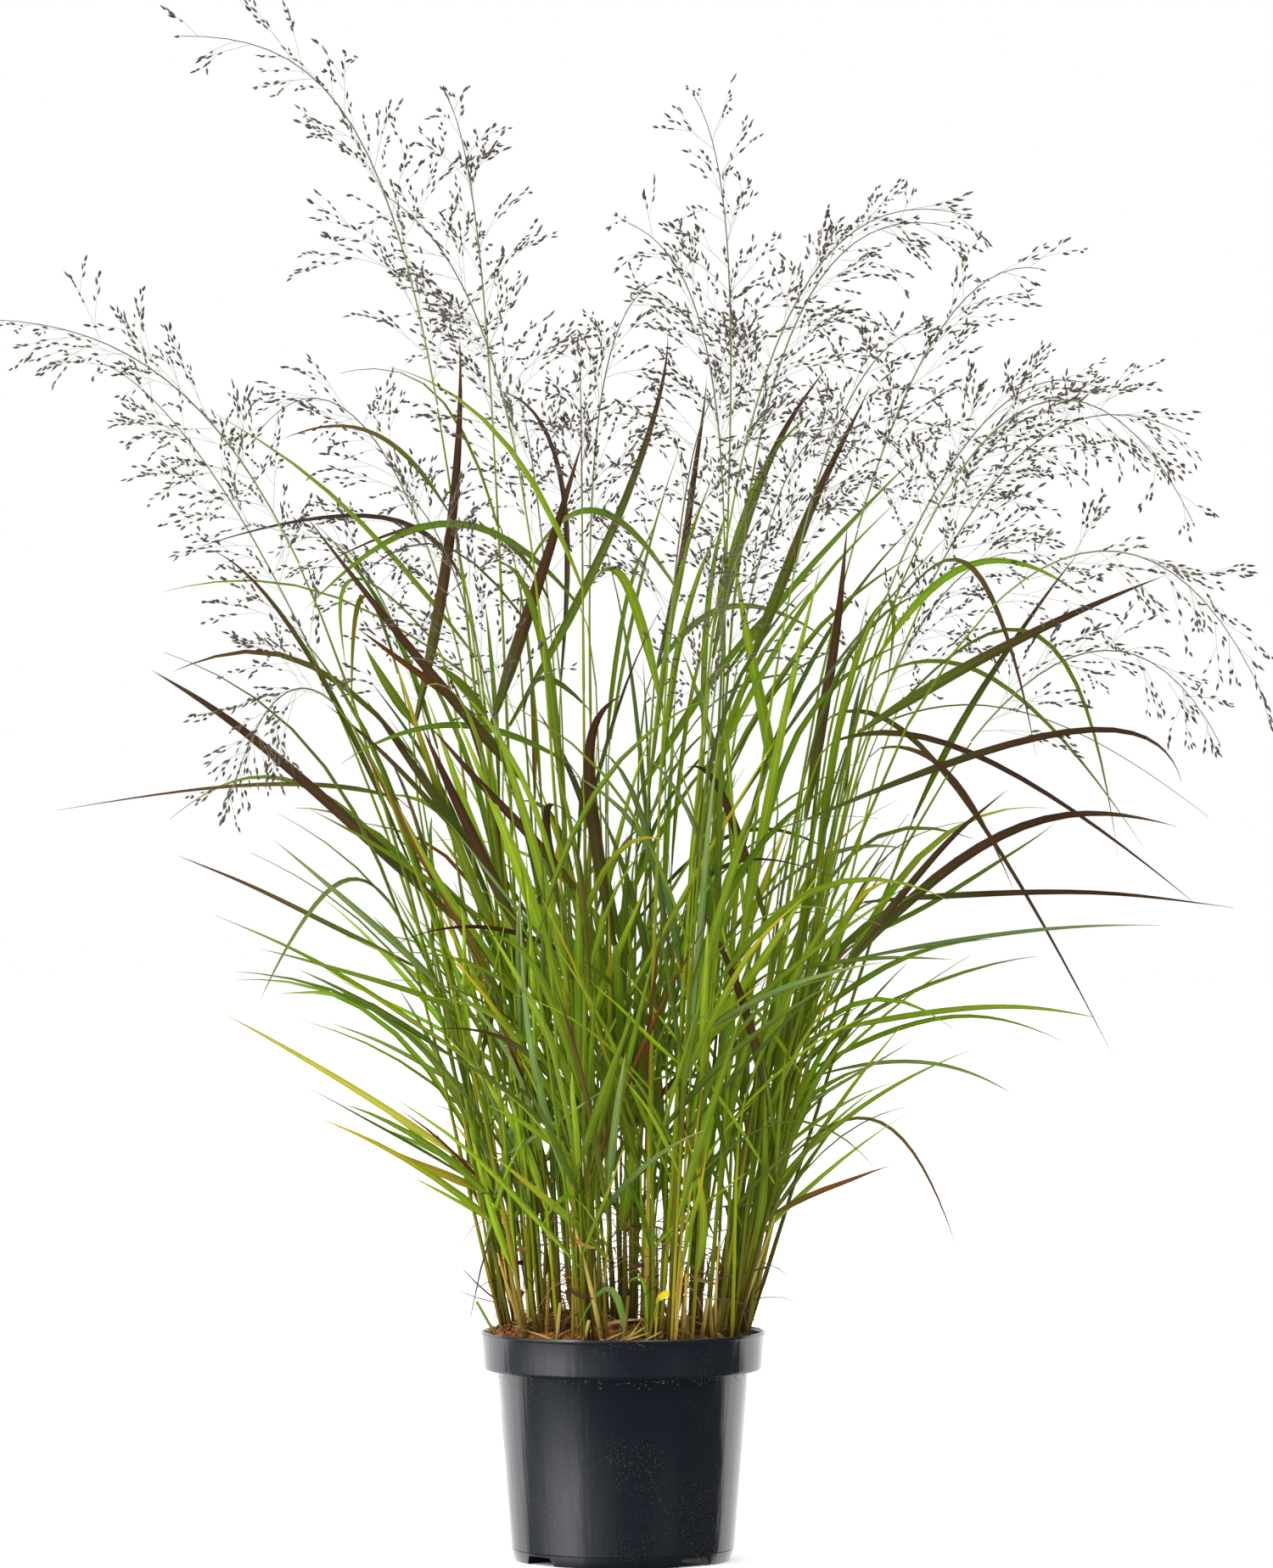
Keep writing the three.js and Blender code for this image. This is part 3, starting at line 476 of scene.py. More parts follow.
def framed(tangents, heading, roll):
    """The directions across and up of a strand with that heading, rolled about its course."""
    across = np.broadcast_to((-heading[1], heading[0], 0.0), tangents.shape)
    across = across - (across * tangents).sum(-1, keepdims=True) * tangents
    across = across / np.linalg.norm(across, axis=-1, keepdims=True)
    up = np.cross(tangents, across)
    c, s = np.cos(roll)[..., None], np.sin(roll)[..., None]
    return across * c + up * s, up * c - across * s


def flat_heading(a, b):
    away = np.array((b[0] - a[0], b[1] - a[1], 0.0))
    size = np.linalg.norm(away)
    return away / size if size > 1e-9 else np.array((1.0, 0, 0))


def graded(keys, t, places=None):
    """A colour for each place t of a strand, from the hex codes of its keys."""
    places = np.linspace(0, 1, len(keys)) if places is None else places
    codes = np.array([colour(key)[:3] for key in keys])
    return np.stack([np.interp(t, places, codes[:, c]) for c in range(3)], axis=-1)


def lay_strand(sheaf, pattern, course, width, depth, keys, under_keys=None, roll=0.0, twist=0.0,
               part=(0, 1), sway=0.0, shade=1.0, key_places=None):
    """Lays a copy of a strand along a part of a course, coloured by its keys from foot to tip."""
    stations, which = pattern.stations, pattern.which
    t = part[0] + (part[1] - part[0]) * stations
    tangents = course.heading(t)
    heading = flat_heading(course.points[0], course.points[-1])
    across, up = framed(tangents, heading, roll + twist * stations**2)
    middle = course.at(t) + across * (sway * np.sin(stations * 8) * stations)[:, None]
    x, y = pattern.corners[:, 0:1], pattern.corners[:, 1:2]
    corners = middle[which] + across[which] * x * width + up[which] * y * depth
    at = stations[which][pattern.loops]
    length = course.length() * (part[1] - part[0])
    tints = graded(keys, at, key_places and [place / length for place in key_places])
    if under_keys:
        tints = np.where(pattern.under[:, None], graded(under_keys, at), tints)
    ways = np.column_stack((pattern.corners[pattern.loops, 0] + 0.5, at * length * MM))
    sheaf.lay(pattern, corners, tints * shade, ways)


def turned_copy(pattern, place, size, angles):
    """The corners of a copy that is sized, turned by three angles and put in its place."""
    (cx, cy, cz), (sx, sy, sz) = np.cos(angles), np.sin(angles)
    about_x = np.array(((1, 0, 0), (0, cx, -sx), (0, sx, cx)))
    about_y = np.array(((cy, 0, sy), (0, 1, 0), (-sy, 0, cy)))
    about_z = np.array(((cz, -sz, 0), (sz, cz, 0), (0, 0, 1)))
    return (pattern.corners * size) @ (about_z @ about_y @ about_x).T + place


def top_of_soil(x, y):
    return soil_height(x, y) + crumbled(x, y)


def on_soil(reach):
    """A drawn point of the soil's surface."""
    radius = reach * math.sqrt(scatter.uniform())
    place = around(radius, scatter.uniform(0, math.tau))
    place[2] = top_of_soil(*place[:2])
    return place


SOIL_REACH = 90
CRUMBS = 2600
LUMP_SHARE = 0.15
# Bits that lie down: how many, how far out, their lengths, and how high one end may stand
ROOT_FIBRES, FIBRE_BED = 420, (88, (5, 22), 4)
STRAWS, STRAW_BED = 60, (86, (10, 38), 9)
LEAF_BITS, LEAF_BED = 48, (84, (22, 60), 14)
FIBRE_RADIUS = 0.22
STRAW_RADIUS = (0.4, 1.0)
LEAF_WIDTH = (1.5, 3.5)
DRY_LEAF = 0.7
STUBS = 30
STUB_REACH = 84
STUB_HEIGHT = (8, 34)
STUB_RADIUS = (0.8, 1.5)
STUB_DEPTH = 4
CRUMB_TONES = ("#2c1a0c", "#5c3414", "#864a18", "#a05c1c", "#b46c26")
FIBRE_TONES = ("#5a3418", "#7a5026", "#94703c")
STRAW = ("#74602a", "#94803e", "#a89454", "#665020")
LONG_PLACES = (0, 0.015, 0.04, 0.08, 0.13, 0.19, 0.26, 0.33, 0.4, 0.47, 0.54, 0.61, 0.68, 0.74, 0.8,
               0.85, 0.9, 0.94, 0.97, 0.99, 1)
SHORT_PLACES = (0, 0.05, 0.16, 0.3, 0.44, 0.58, 0.72, 0.84, 0.93, 1)


def leaf_share(s):
    """The share of its full width that a blade has at a place."""
    return max(0.02, (1 - s**2.5) * (0.34 + 0.66 * min(1, s / 0.2)))


# Half a millimetre of relief gives the blade its keel and its two curved halves.
blade_top = [(-0.5, 0), (-0.27, -0.42), (0, -0.95), (0.27, -0.42), (0.5, 0)]
blade_back = [(0.27, -0.72), (0, -1.35), (-0.27, -0.72)]
long_blade, blade = [
    strand(section, [(s, leaf_share(s), max(0.12, 1 - 0.8 * s)) for s in places])
    for section, places in (
        (blade_top + blade_back, LONG_PLACES),
        (blade_top[::2] + blade_back[1:2], SHORT_PLACES),
    )
]
straw = strand(round_section(6), [(0, 1, 1), (0.5, 0.96, 0.96), (1, 0.9, 0.9)])
fibre = strand(round_section(3), [(0, 1, 1), (0.33, 0.9, 0.9), (0.66, 0.8, 0.8), (1, 0.3, 0.3)])
bpy.ops.object.select_all(action="DESELECT")
bpy.ops.mesh.primitive_ico_sphere_add(subdivisions=1, radius=1)
lump = bpy.context.object
for corner in lump.data.vertices:
    corner.co *= 0.75 + 0.5 * noise.noise(corner.co * 3 + Vector((5, 5, 5)))
crumb = pattern_of(lump)

litter = Sheaf()
for _ in range(CRUMBS):
    place = on_soil(SOIL_REACH)
    size = scatter.uniform(0.5, 1.5) * scatter.uniform(0.7, 1.3, 3)
    if scatter.uniform() < LUMP_SHARE:
        size *= 2
    code = CRUMB_TONES[scatter.integers(5)]
    litter.lay_plain(crumb, turned_copy(crumb, place, size, scatter.uniform(0, 6, 3)), code)


def lying(reach, lengths, rise):
    """The course of a bit that lies on the soil, bowed a little off it in the middle."""
    length = scatter.uniform(*lengths)
    start = on_soil(reach)
    end = start + around(length, scatter.uniform(0, math.tau))
    over = math.hypot(end[0], end[1]) / SOIL_REACH
    if over > 1:
        end[:2] /= over
    end[2] = top_of_soil(*end[:2]) + scatter.uniform(0, rise)
    bow = scatter.uniform(-3, 3), scatter.uniform(-3, 3), scatter.uniform(1, 3 + rise / 2)
    return Course(start, (start + end) / 2 + bow, end)


for _ in range(ROOT_FIBRES):
    tone = FIBRE_TONES[scatter.integers(3)]
    lay_strand(litter, fibre, lying(*FIBRE_BED), FIBRE_RADIUS, FIBRE_RADIUS, (tone, tone))
for _ in range(STRAWS):
    size = scatter.uniform(*STRAW_RADIUS)
    tone = STRAW[scatter.integers(4)]
    lay_strand(litter, straw, lying(*STRAW_BED), size, size, (tone, tone))
for _ in range(LEAF_BITS):
    tone = STRAW[scatter.integers(4)]
    lay_strand(litter, blade, lying(*LEAF_BED), scatter.uniform(*LEAF_WIDTH), DRY_LEAF,
               (tone, tone, "#6b4a28"), roll=scatter.uniform(-2, 2), twist=scatter.uniform(-2, 2))
for _ in range(STUBS):
    foot = on_soil(STUB_REACH)
    lean = scatter.uniform(-0.45, 0.45, 2)
    top = foot + scatter.uniform(*STUB_HEIGHT) * np.array((*lean, 1))
    size = scatter.uniform(*STUB_RADIUS)
    foot[2] -= STUB_DEPTH
    tone = STRAW[scatter.integers(4)]
    lay_strand(litter, straw, Course(foot, (foot + top) / 2, top), size, size, ("#5a4020", tone, tone))

# At the front: a fan of straw over the rim, a young leaf that bends over, a yellow seedling leaf,
# a green stub at the left, and wiry wisps on both sides. Start, handle, end; pattern, size; tones.
PALE = ("#8a6a34", "#b89a54", "#a8884a")
WIRE = ("#4a3420", "#5a4028", "#4e3826")
BITS_ROLL = 1.2
FRONT_BITS = (
    ((-3, -90, 152), (6, -86, 154), (16, -80, 161), blade, 1.9, PALE),
    ((-1, -91, 152), (7, -87, 153), (19, -81, 157), blade, 1.5, PALE),
    ((1, -90, 152), (7, -86, 156), (13, -79, 166), blade, 1.3, PALE),
    ((13, -90, 152), (20, -86, 154), (27, -80, 158), blade, 1.3, PALE),
    ((-12, -90, 152), (-7, -85, 154), (2, -78, 157), blade, 1.6, PALE),
    ((2, -62, 149), (-4, -66, 216), (-31, -79, 156), blade, 5, ("#5e7a2c", "#6a8a3a", "#62803a")),
    ((16, -60, 148), (19, -66, 206), (3, -68, 187), blade, 3.2, ("#5a7a10", "#6a9410", "#6a9410")),
    ((21, -72, 147), (22, -73, 160), (23, -74, 178), straw, 0.8, ("#7a7a1c", "#9aa022", "#a8a020")),
    ((23, -74, 177), (28, -76, 184), (38, -78, 181), blade, 5.5, ("#a8a010", "#ccb61a", "#c0a418")),
    ((23, -74, 176), (19, -76, 170), (22, -77, 157), blade, 3, ("#a8a010", "#c4b41c", "#98901c")),
    ((-82, -24, 148), (-88, -26, 156), (-97, -27, 173), straw, 1.1, ("#6a5a20", "#6c8228", "#628a2c")),
    ((-80, -20, 232), (-91, -25, 217), (-101, -28, 163), fibre, 0.9, WIRE),
    ((-80, -30, 172), (-92, -32, 179), (-106, -34, 195), fibre, 0.8, WIRE),
    ((80, -40, 172), (70, -48, 178), (52, -56, 176), fibre, 0.8, WIRE),
    ((96, -28, 196), (72, -40, 190), (44, -50, 186), fibre, 0.8, WIRE),
    ((88, -20, 178), (94, -26, 186), (98, -30, 206), fibre, 0.75, WIRE),
)
for start, middle, end, pattern, size, tone in FRONT_BITS:
    thickness = DRY_LEAF if pattern is blade else size
    lay_strand(litter, pattern, Course(start, middle, end), size, thickness, tone, roll=BITS_ROLL)

# Peat that was splashed up and has dried on under the collar, mostly right of the middle.
SPLASHES = 90
SPLASH_SIZE = (0.2, 0.5)
SPLASH_TONES = ("#8a7450", "#b09a70", "#4a3824")
for _ in range(SPLASHES):
    angle = scatter.normal(-1.25, 0.55)
    height = COLLAR_FOOT - 1.2 - abs(scatter.normal(0, 2.5))
    risen = (height - SEAM_HEIGHT) / (COLLAR_FOOT - 1 - SEAM_HEIGHT)
    wall = SEAM_RADIUS + (BODY_RADIUS - SEAM_RADIUS) * risen
    code = SPLASH_TONES[scatter.integers(3)]
    corners = turned_copy(crumb, around(wall, angle, height), scatter.uniform(*SPLASH_SIZE, 3),
                          scatter.uniform(0, 6, 3))
    litter.lay_plain(crumb, corners, code)

# Dead grass, dry and matt: straw, tan and dark brown, with fibres along each bit.
dry, tree, shader = finish_named("dry straw and peat crumbs")
tint = node(tree, "VertexColor", {"layer_name": "tint"})
way = node(tree, "UVMap", {"uv_map": "course"})
long = node(tree, "Mapping", {"Scale": (9, 90, 1)}, {"Vector": way})
grain = node(tree, "TexNoise", {"Scale": 1, "Detail": 3}, {"Vector": long})
shadow = node(tree, "MapRange", {"To Min": 0.55, "To Max": 1.25}, {"Value": grain})
toned = node(tree, "VectorMath", {"operation": "SCALE"}, {"Vector": tint, "Scale": shadow})
fed(tree, shader, {"Roughness": 0.85, "Specular IOR Level": 0.25}, {"Base Color": toned})
bits = litter.piece("soil_litter", dry, 40)
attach(bits, "root")

# Growth of the clump
# The clump grows by one seeded rule, the same as in the part's solids: crowns in three rings, then
# flowering culms, the tall leaves, more shoots and side leaves, each bent clear of its neighbours.
CROWN_RINGS = ((1, 0, 0), (5, 38, 0.3), (10, 71, 0.1))
CROWDING = 3
FOOT_SPREAD = 9.5
FAN_PER_MM = 0.002
SHOOTS_PER_TUFT = 5
SHOOT_RISE = (110, 340)
SHOOT_LENGTH = (170, 310)
SHOOT_WIDTH = (5, 8)
SIDE_LEAVES = 40
SIDE_LENGTH = (130, 260)
SIDE_WIDTH = (4.5, 7.5)
TRIES = 24
CULM_RADIUS = 1.9
SHOOT_RADIUS = 1.9
BLADE_KEEL = 1.15
BLADE_CROOK = 0.72
BLADE_FACING = math.radians(62)
STEM_TURN = 35
SPIKELET_RADIUS = 1.05
BRANCHES = 7
GOLDEN_TURN = 2.4
# Shares of a branch's reach: to the middle of its course, to its end, and how far it hangs
BRANCH_MIDDLE = 0.55
BRANCH_END = 0.96
BRANCH_SAG = 0.2
# Shares of a leaf's length below and beyond its elbow, and how far each point lies in depth
ELBOW_SHARE = 0.58
TIP_SHARE = 0.45
ROOT_DEPTH = 0.5
ELBOW_DEPTH = 0.8
TIP_DEPTH = 1.15
LEAF_ROLL = (-1.1, 1.1)
STEM_STATIONS = (0, 0.6)
CULM_STATIONS = (0, 0.25, 0.5, 0.75, 1)
AXIS_STATIONS = (0, 0.22, 0.45, 0.68)
SPIKELET_LENGTH = 4.6
DEPTH_TRIES = (0, -14, 14, -28, 28, -42, 42, -60, 60, -80, 80, 100, -100)
# Flowering culms: foot x, y; lower handle x, z; upper handle x, z; tip x, y, z; spray length, reach
CULMS = (
    (-53, -10, -115, 900, -150, 1010, -289, -95, 1005, 330, 105),
    (-60, 28, -84, 650, -86, 930, -122, 95, 987, 240, 90),
    (-36, -42, -42, 600, -56, 835, -150, -190, 892, 220, 85),
    (-76, -28, -175, 640, -240, 815, -410, -120, 818, 275, 95),
    (-78, 18, -125, 470, -270, 770, -358, 150, 805, 290, 95),
    (-45, 48, -75, 620, -170, 860, -253, 185, 758, 240, 85),
    (-80, -38, -125, 520, -205, 680, -250, -200, 510, 130, 70),
    (-22, -30, -25, 400, -26, 650, -28, -60, 792, 95, 30),
    (38, 40, 72, 600, 95, 860, 3, 110, 898, 210, 80),
    (45, 5, 62, 600, 95, 900, 48, 35, 977, 270, 90),
    (40, -22, 45, 650, 75, 930, 223, -110, 887, 260, 85),
    (52, 42, 60, 650, 80, 930, 225, 170, 900, 240, 85),
    (68, 26, 115, 620, 190, 880, 283, 110, 867, 240, 85),
    (50, -48, 85, 560, 115, 790, 192, -215, 808, 210, 85),
    (75, -6, 160, 820, 300, 850, 375, -60, 689, 260, 80),
    (72, 45, 150, 560, 235, 830, 384, 150, 757, 250, 85),
    (80, -30, 140, 640, 325, 790, 416, -150, 568, 250, 75),
    (82, 12, 150, 500, 310, 720, 402, 60, 544, 220, 70),
    (62, 60, 130, 600, 230, 830, 330, 265, 795, 240, 90),
    (8, -45, 20, 520, 30, 740, 62, -300, 765, 230, 90),
    (30, -66, 45, 420, 60, 690, 85, -345, 690, 230, 85),
    (25, 62, 60, 520, 90, 760, 150, 340, 770, 230, 90),
    (-25, 68, -35, 520, -60, 760, -75, 330, 790, 230, 90),
    (-8, 30, -25, 600, -40, 820, 20, 150, 860, 220, 85),
    (-35, -68, -60, 450, -90, 680, -140, -320, 700, 220, 85),
    (-60, 55, -110, 480, -150, 700, -225, 310, 690, 220, 85),
    (58, 50, 120, 450, 190, 680, 280, 320, 680, 220, 80),
)
# Tall leaves: root x, z; elbow x, z; tip x, z; depth y; width; colour by name
LEAVES = (
    (-107, 651, -140, 725, -290, 674, 60, 4, "plum"),
    (-138, 555, -104, 700, -108, 812, -45, 7, "faded"),
    (-118, 700, -165, 778, -233, 750, 90, 3.5, "bronze"),
    (-29, 634, -110, 735, -209, 631, -60, 6, "green"),
    (-64, 516, -125, 585, -211, 696, -95, 7, "umber"),
    (-143, 465, -222, 650, -276, 672, 20, 4, "bronze"),
    (-98, 414, -240, 550, -310, 592, -50, 7.5, "umber"),
    (-132, 442, -225, 560, -307, 493, 70, 4.5, "green"),
    (-149, 506, -210, 527, -375, 499, -20, 3.5, "bronze"),
    (-155, 440, -190, 482, -239, 369, -80, 4, "sage"),
    (-115, 378, -170, 432, -227, 479, -100, 4.5, "sage"),
    (-132, 389, -240, 442, -304, 468, 110, 3.5, "bronze"),
    (-109, 335, -190, 395, -273, 428, 30, 3.5, "green"),
    (-90, 357, -150, 388, -239, 407, -70, 4, "green"),
    (-100, 262, -190, 325, -266, 365, -35, 5, "lime"),
    (-76, 295, -150, 337, -200, 356, 80, 3.5, "sage"),
    (-93, 246, -130, 264, -170, 282, -60, 6, "gold"),
    (-126, 612, -200, 695, -184, 590, -25, 5, "green"),
    (-150, 590, -182, 700, -183, 555, 35, 5, "tipped"),
    (-98, 561, -140, 594, -173, 617, -90, 5, "amber"),
    (-64, 408, -108, 500, -132, 555, -80, 7.5, "umber"),
    (-25, 440, -85, 510, -129, 555, -90, 6, "russet"),
    (-36, 530, -115, 577, -184, 529, -75, 5, "green"),
    (-98, 471, -150, 533, -194, 569, -110, 3.5, "bronze"),
    (-5, 408, -38, 560, 0, 575, -85, 8, "umber"),
    (-30, 400, -95, 437, -149, 411, -100, 4, "umber"),
    (-39, 493, -52, 660, -81, 660, -65, 5, "green"),
    (-87, 555, -55, 650, -25, 744, -50, 8, "russet"),
    (-76, 555, 30, 740, 29, 819, 40, 6, "half"),
    (-42, 583, -25, 775, -90, 782, 75, 3.5, "plum"),
    (-64, 660, -20, 740, 45, 630, -40, 6, "green"),
    (-50, 640, -90, 725, -205, 660, 20, 4, "bronze"),
    (26, 566, 0, 692, -25, 640, -55, 6, "bright"),
    (-39, 425, -66, 542, -19, 476, -95, 5, "plum"),
    (-67, 340, -69, 400, -67, 459, -95, 4, "sage"),
    (121, 493, 140, 600, 149, 688, -45, 7, "umber"),
    (156, 550, 250, 612, 359, 654, -35, 7.5, "half"),
    (185, 640, 240, 712, 270, 533, -70, 4.5, "bronze"),
    (190, 575, 300, 690, 333, 468, 40, 4, "green"),
    (173, 590, 250, 628, 354, 473, 100, 3.5, "green"),
    (180, 560, 265, 592, 390, 494, 0, 3.5, "green"),
    (122, 493, 345, 590, 362, 517, -110, 6, "russet"),
    (195, 493, 240, 590, 311, 674, 75, 4.5, "half"),
    (139, 544, 215, 572, 378, 434, -85, 4.5, "umber"),
    (139, 561, 200, 592, 337, 318, 50, 4, "bronze"),
    (170, 540, 215, 547, 255, 445, -100, 3.5, "umber"),
    (150, 397, 255, 520, 364, 489, -60, 7.5, "umber"),
    (161, 437, 290, 450, 410, 434, 30, 4.5, "umber"),
    (130, 350, 240, 377, 319, 361, -20, 4.5, "green"),
    (120, 320, 220, 382, 302, 340, 65, 4, "green"),
    (112, 270, 180, 335, 222, 205, -40, 3.5, "bronze"),
    (110, 262, 165, 317, 232, 343, -70, 3.5, "green"),
    (130, 320, 210, 341, 268, 303, 100, 3.5, "sage"),
    (145, 405, 240, 447, 294, 490, 120, 3.5, "green"),
    (150, 400, 270, 425, 350, 424, -95, 3.5, "sage"),
    (96, 420, 62, 537, 42, 527, -90, 5.5, "russet"),
    (40, 440, 70, 482, 144, 454, -105, 3.5, "plum"),
    (100, 290, 83, 376, 48, 442, -90, 6, "umber"),
    (23, 595, 48, 690, 54, 786, -35, 5, "umber"),
    (60, 600, 85, 730, 136, 795, 30, 6, "half"),
    (82, 590, 115, 680, 161, 777, -75, 7, "half"),
    (20, 590, 70, 668, 142, 608, 60, 5, "sage"),
    (102, 510, 88, 590, 71, 668, -60, 6, "bright"),
    (150, 600, 190, 680, 174, 575, -30, 4.5, "green"),
    (170, 600, 235, 704, 314, 640, 90, 5, "bright"),
    (145, 395, 205, 475, 249, 513, -115, 5, "russet"),
    (94, 390, 156, 405, 215, 402, -100, 3.5, "green"),
)

# Tall leaves are laid wider than in the solids, and broad green ones wider still
BROAD_TONES = ("green", "bright", "tipped")
BROAD_WIDTH = 5
BROAD_GAIN = 1.32
TALL_GAIN = 1.12

draw_state = 20260


def draw(low, high):
    """The next number of the seeded row."""
    global draw_state
    draw_state = (draw_state * 1664525 + 1013904223) & 0xFFFFFFFF
    return low + (high - low) * draw_state / 4294967296


def chosen(row):
    """One of a row, by a seeded draw."""
    return row[math.floor(draw(0, len(row)))]


def point(x, y, z):
    return np.array((x, y, z), float)


def span(a, b):
    return float(np.linalg.norm(a - b))


tufts = []
for count, radius, turn in CROWN_RINGS:
    for k in range(count):
        x, y, _ = around(radius, turn + k * math.tau / count).tolist()
        tufts.append(SimpleNamespace(x=x, y=y, z=soil_height(x, y), strands=[]))


def stems_of(tuft):
    return [strand for strand in tuft.strands if strand.kind != "side"]


def nearest_tuft(x, y):
    away = [math.hypot(tuft.x - x, tuft.y - y) + CROWDING * len(tuft.strands) for tuft in tufts]
    return away.index(min(away))


def foot_in(tuft, x, y):
    """The foot of a stem, drawn in to the crown that it grows from."""
    away = math.hypot(x - tuft.x, y - tuft.y)
    share = min(1, FOOT_SPREAD / away) if away else 0
    return point(tuft.x + (x - tuft.x) * share, tuft.y + (y - tuft.y) * share, tuft.z - 1)


MARK_CELL = 16
MARK_STEP = 7
NEAR = [(i, j, k) for i in (-1, 0, 1) for j in (-1, 0, 1) for k in (-1, 0, 1)]
marks = {}


def cell_at(x, y, z):
    return math.floor(x / MARK_CELL), math.floor(y / MARK_CELL), math.floor(z / MARK_CELL)


def keep_marks(markers, owner):
    """Notes the room that a strand takes, as round markers, in every cell beside them."""
    for x, y, z, r in markers:
        cell = cell_at(x, y, z)
        for i, j, k in NEAR:
            marks.setdefault((cell[0] + i, cell[1] + j, cell[2] + k), []).append((x, y, z, r, owner))


def room_for(markers, owner, among_own):
    """The least room between a strand's markers and those of its own tuft, or of all others."""
    room = 99
    for x, y, z, r in markers:
        for ox, oy, oz, other_r, other in marks.get(cell_at(x, y, z), ()):
            if (other == owner) is among_own:
                away = math.sqrt((x - ox) ** 2 + (y - oy) ** 2 + (z - oz) ** 2) - r - other_r
                room = min(room, away)
    return room


def markers_along(course, start, end, radius_at):
    steps = math.ceil(course.length() / MARK_STEP)
    places = [start + (end - start) * k / steps for k in range(steps + 1)]
    return [(*spot, radius_at(s)) for spot, s in zip(course.at(places).tolist(), places)]


def solid_width(width, s):
    return width * (1 - s**3) * (0.45 + 0.55 * min(1, s / 0.2))


def blade_markers(course, width, start):
    return markers_along(course, start, 1, lambda s: max(solid_width(width, s) / 2, BLADE_KEEL / 2))


def bent(root, elbow, tip):
    near = root + (elbow - root) * BLADE_CROOK
    far = tip + (elbow - tip) * BLADE_CROOK
    return Course(root, near, far, tip)


def stem_to(foot, collar, elbow):
    lean = collar - foot
    turn = elbow - collar
    turn = turn / np.linalg.norm(turn) * min(STEM_TURN, np.linalg.norm(lean) / 4)
    return Course(foot, foot + lean * 0.5, collar - turn, collar)


def roll_to_front(collar, elbow, tip):
    """The roll that turns a leaf's broad side to the front, less so where it folds back over it."""
    heading = flat_heading(collar, tip)
    across, up = framed(bent(collar, elbow, tip).heading(0.5), heading, np.asarray(0.0))
    openness = span(tip, collar) / (span(elbow, collar) + span(tip, elbow))
    return -np.sign(across[1] * up[1]) * BLADE_FACING * openness * abs(heading[0])


def measured(strand, own_markers):
    strand.room = room_for(strand.markers, strand.tuft, False)
    strand.own = room_for(own_markers, strand.tuft, True)
    return strand


def try_shoot(index, collar, elbow, tip, width, roll):
    tuft = tufts[index]
    fan = 1 / (1 + FAN_PER_MM * (collar[2] - tuft.z))
    stem = stem_to(foot_in(tuft, collar[0] * fan, collar[1] * fan), collar, elbow)
    leaf = bent(collar, elbow, tip)
    markers = markers_along(stem, 0, 1, lambda s: SHOOT_RADIUS) + blade_markers(leaf, width, 0)
    shoot = SimpleNamespace(kind="shoot", stem=stem, split=1, start=1, blade=leaf, width=width,
                            roll=roll, markers=markers, tuft=index, name=None)
    return measured(shoot, blade_markers(leaf, width, 0.2))


def side_leaf(index, root, elbow, tip, width, roll, name=None):
    """A leaf from the side of a stem, with the room that it has."""
    leaf = bent(root, elbow, tip)
    made = SimpleNamespace(kind="side", blade=leaf, width=width, roll=roll, tuft=index, name=name,
                           markers=blade_markers(leaf, width, 0.05))
    return measured(made, blade_markers(leaf, width, 0.25))


def better(candidate, best):
    if best is None:
        return True
    free, was_free = candidate.room > GAP, best.room > GAP
    if free != was_free:
        return free
    return candidate.own > best.own if free else candidate.room > best.room


def settle(tries, make):
    """Tries courses in turn until one is clear of its neighbours, or else keeps the roomiest."""
    best = None
    for attempt in range(tries):
        candidate = make(attempt)
        if better(candidate, best):
            best = candidate
        if best.room > GAP and best.own > 0:
            break
    return best


def accept(strand):
    keep_marks(strand.markers, strand.tuft)
    tufts[strand.tuft].strands.append(strand)


# Markers of the sprays are owned by numbers from here on, and those of the tufts by lower ones
SPRAY_OWNER = 100
culms = []
for foot_x, foot_y, low_x, low_z, high_x, high_z, tip_x, tip_y, tip_z, spray, reach in CULMS:
    index = nearest_tuft(foot_x, foot_y)
    foot = foot_in(tufts[index], foot_x, foot_y)
    over = tip_y - foot[1]
    course = Course(foot, point(low_x, foot[1] + 0.22 * over, low_z),
                    point(high_x, foot[1] + 0.6 * over, high_z), point(tip_x, tip_y, tip_z), steps=400)
    split = course.reached(course.length() - spray)
    start = course.reached(course.length() - spray + GAP)
    culms.append(SimpleNamespace(kind="culm", stem=course, split=split, start=start, tuft=index,
                                 reach=reach, spray=spray, heading=flat_heading(foot, course.points[3])))
# As in the part's solids, a crown counts its stems only once all the culms have been placed.
for k, culm in enumerate(culms):
    keep_marks(markers_along(culm.stem, 0, culm.split, lambda s: CULM_RADIUS), culm.tuft)
    keep_marks(markers_along(culm.stem, culm.start, 1, lambda s: SPIKELET_RADIUS), SPRAY_OWNER + k)
    tufts[culm.tuft].strands.append(culm)

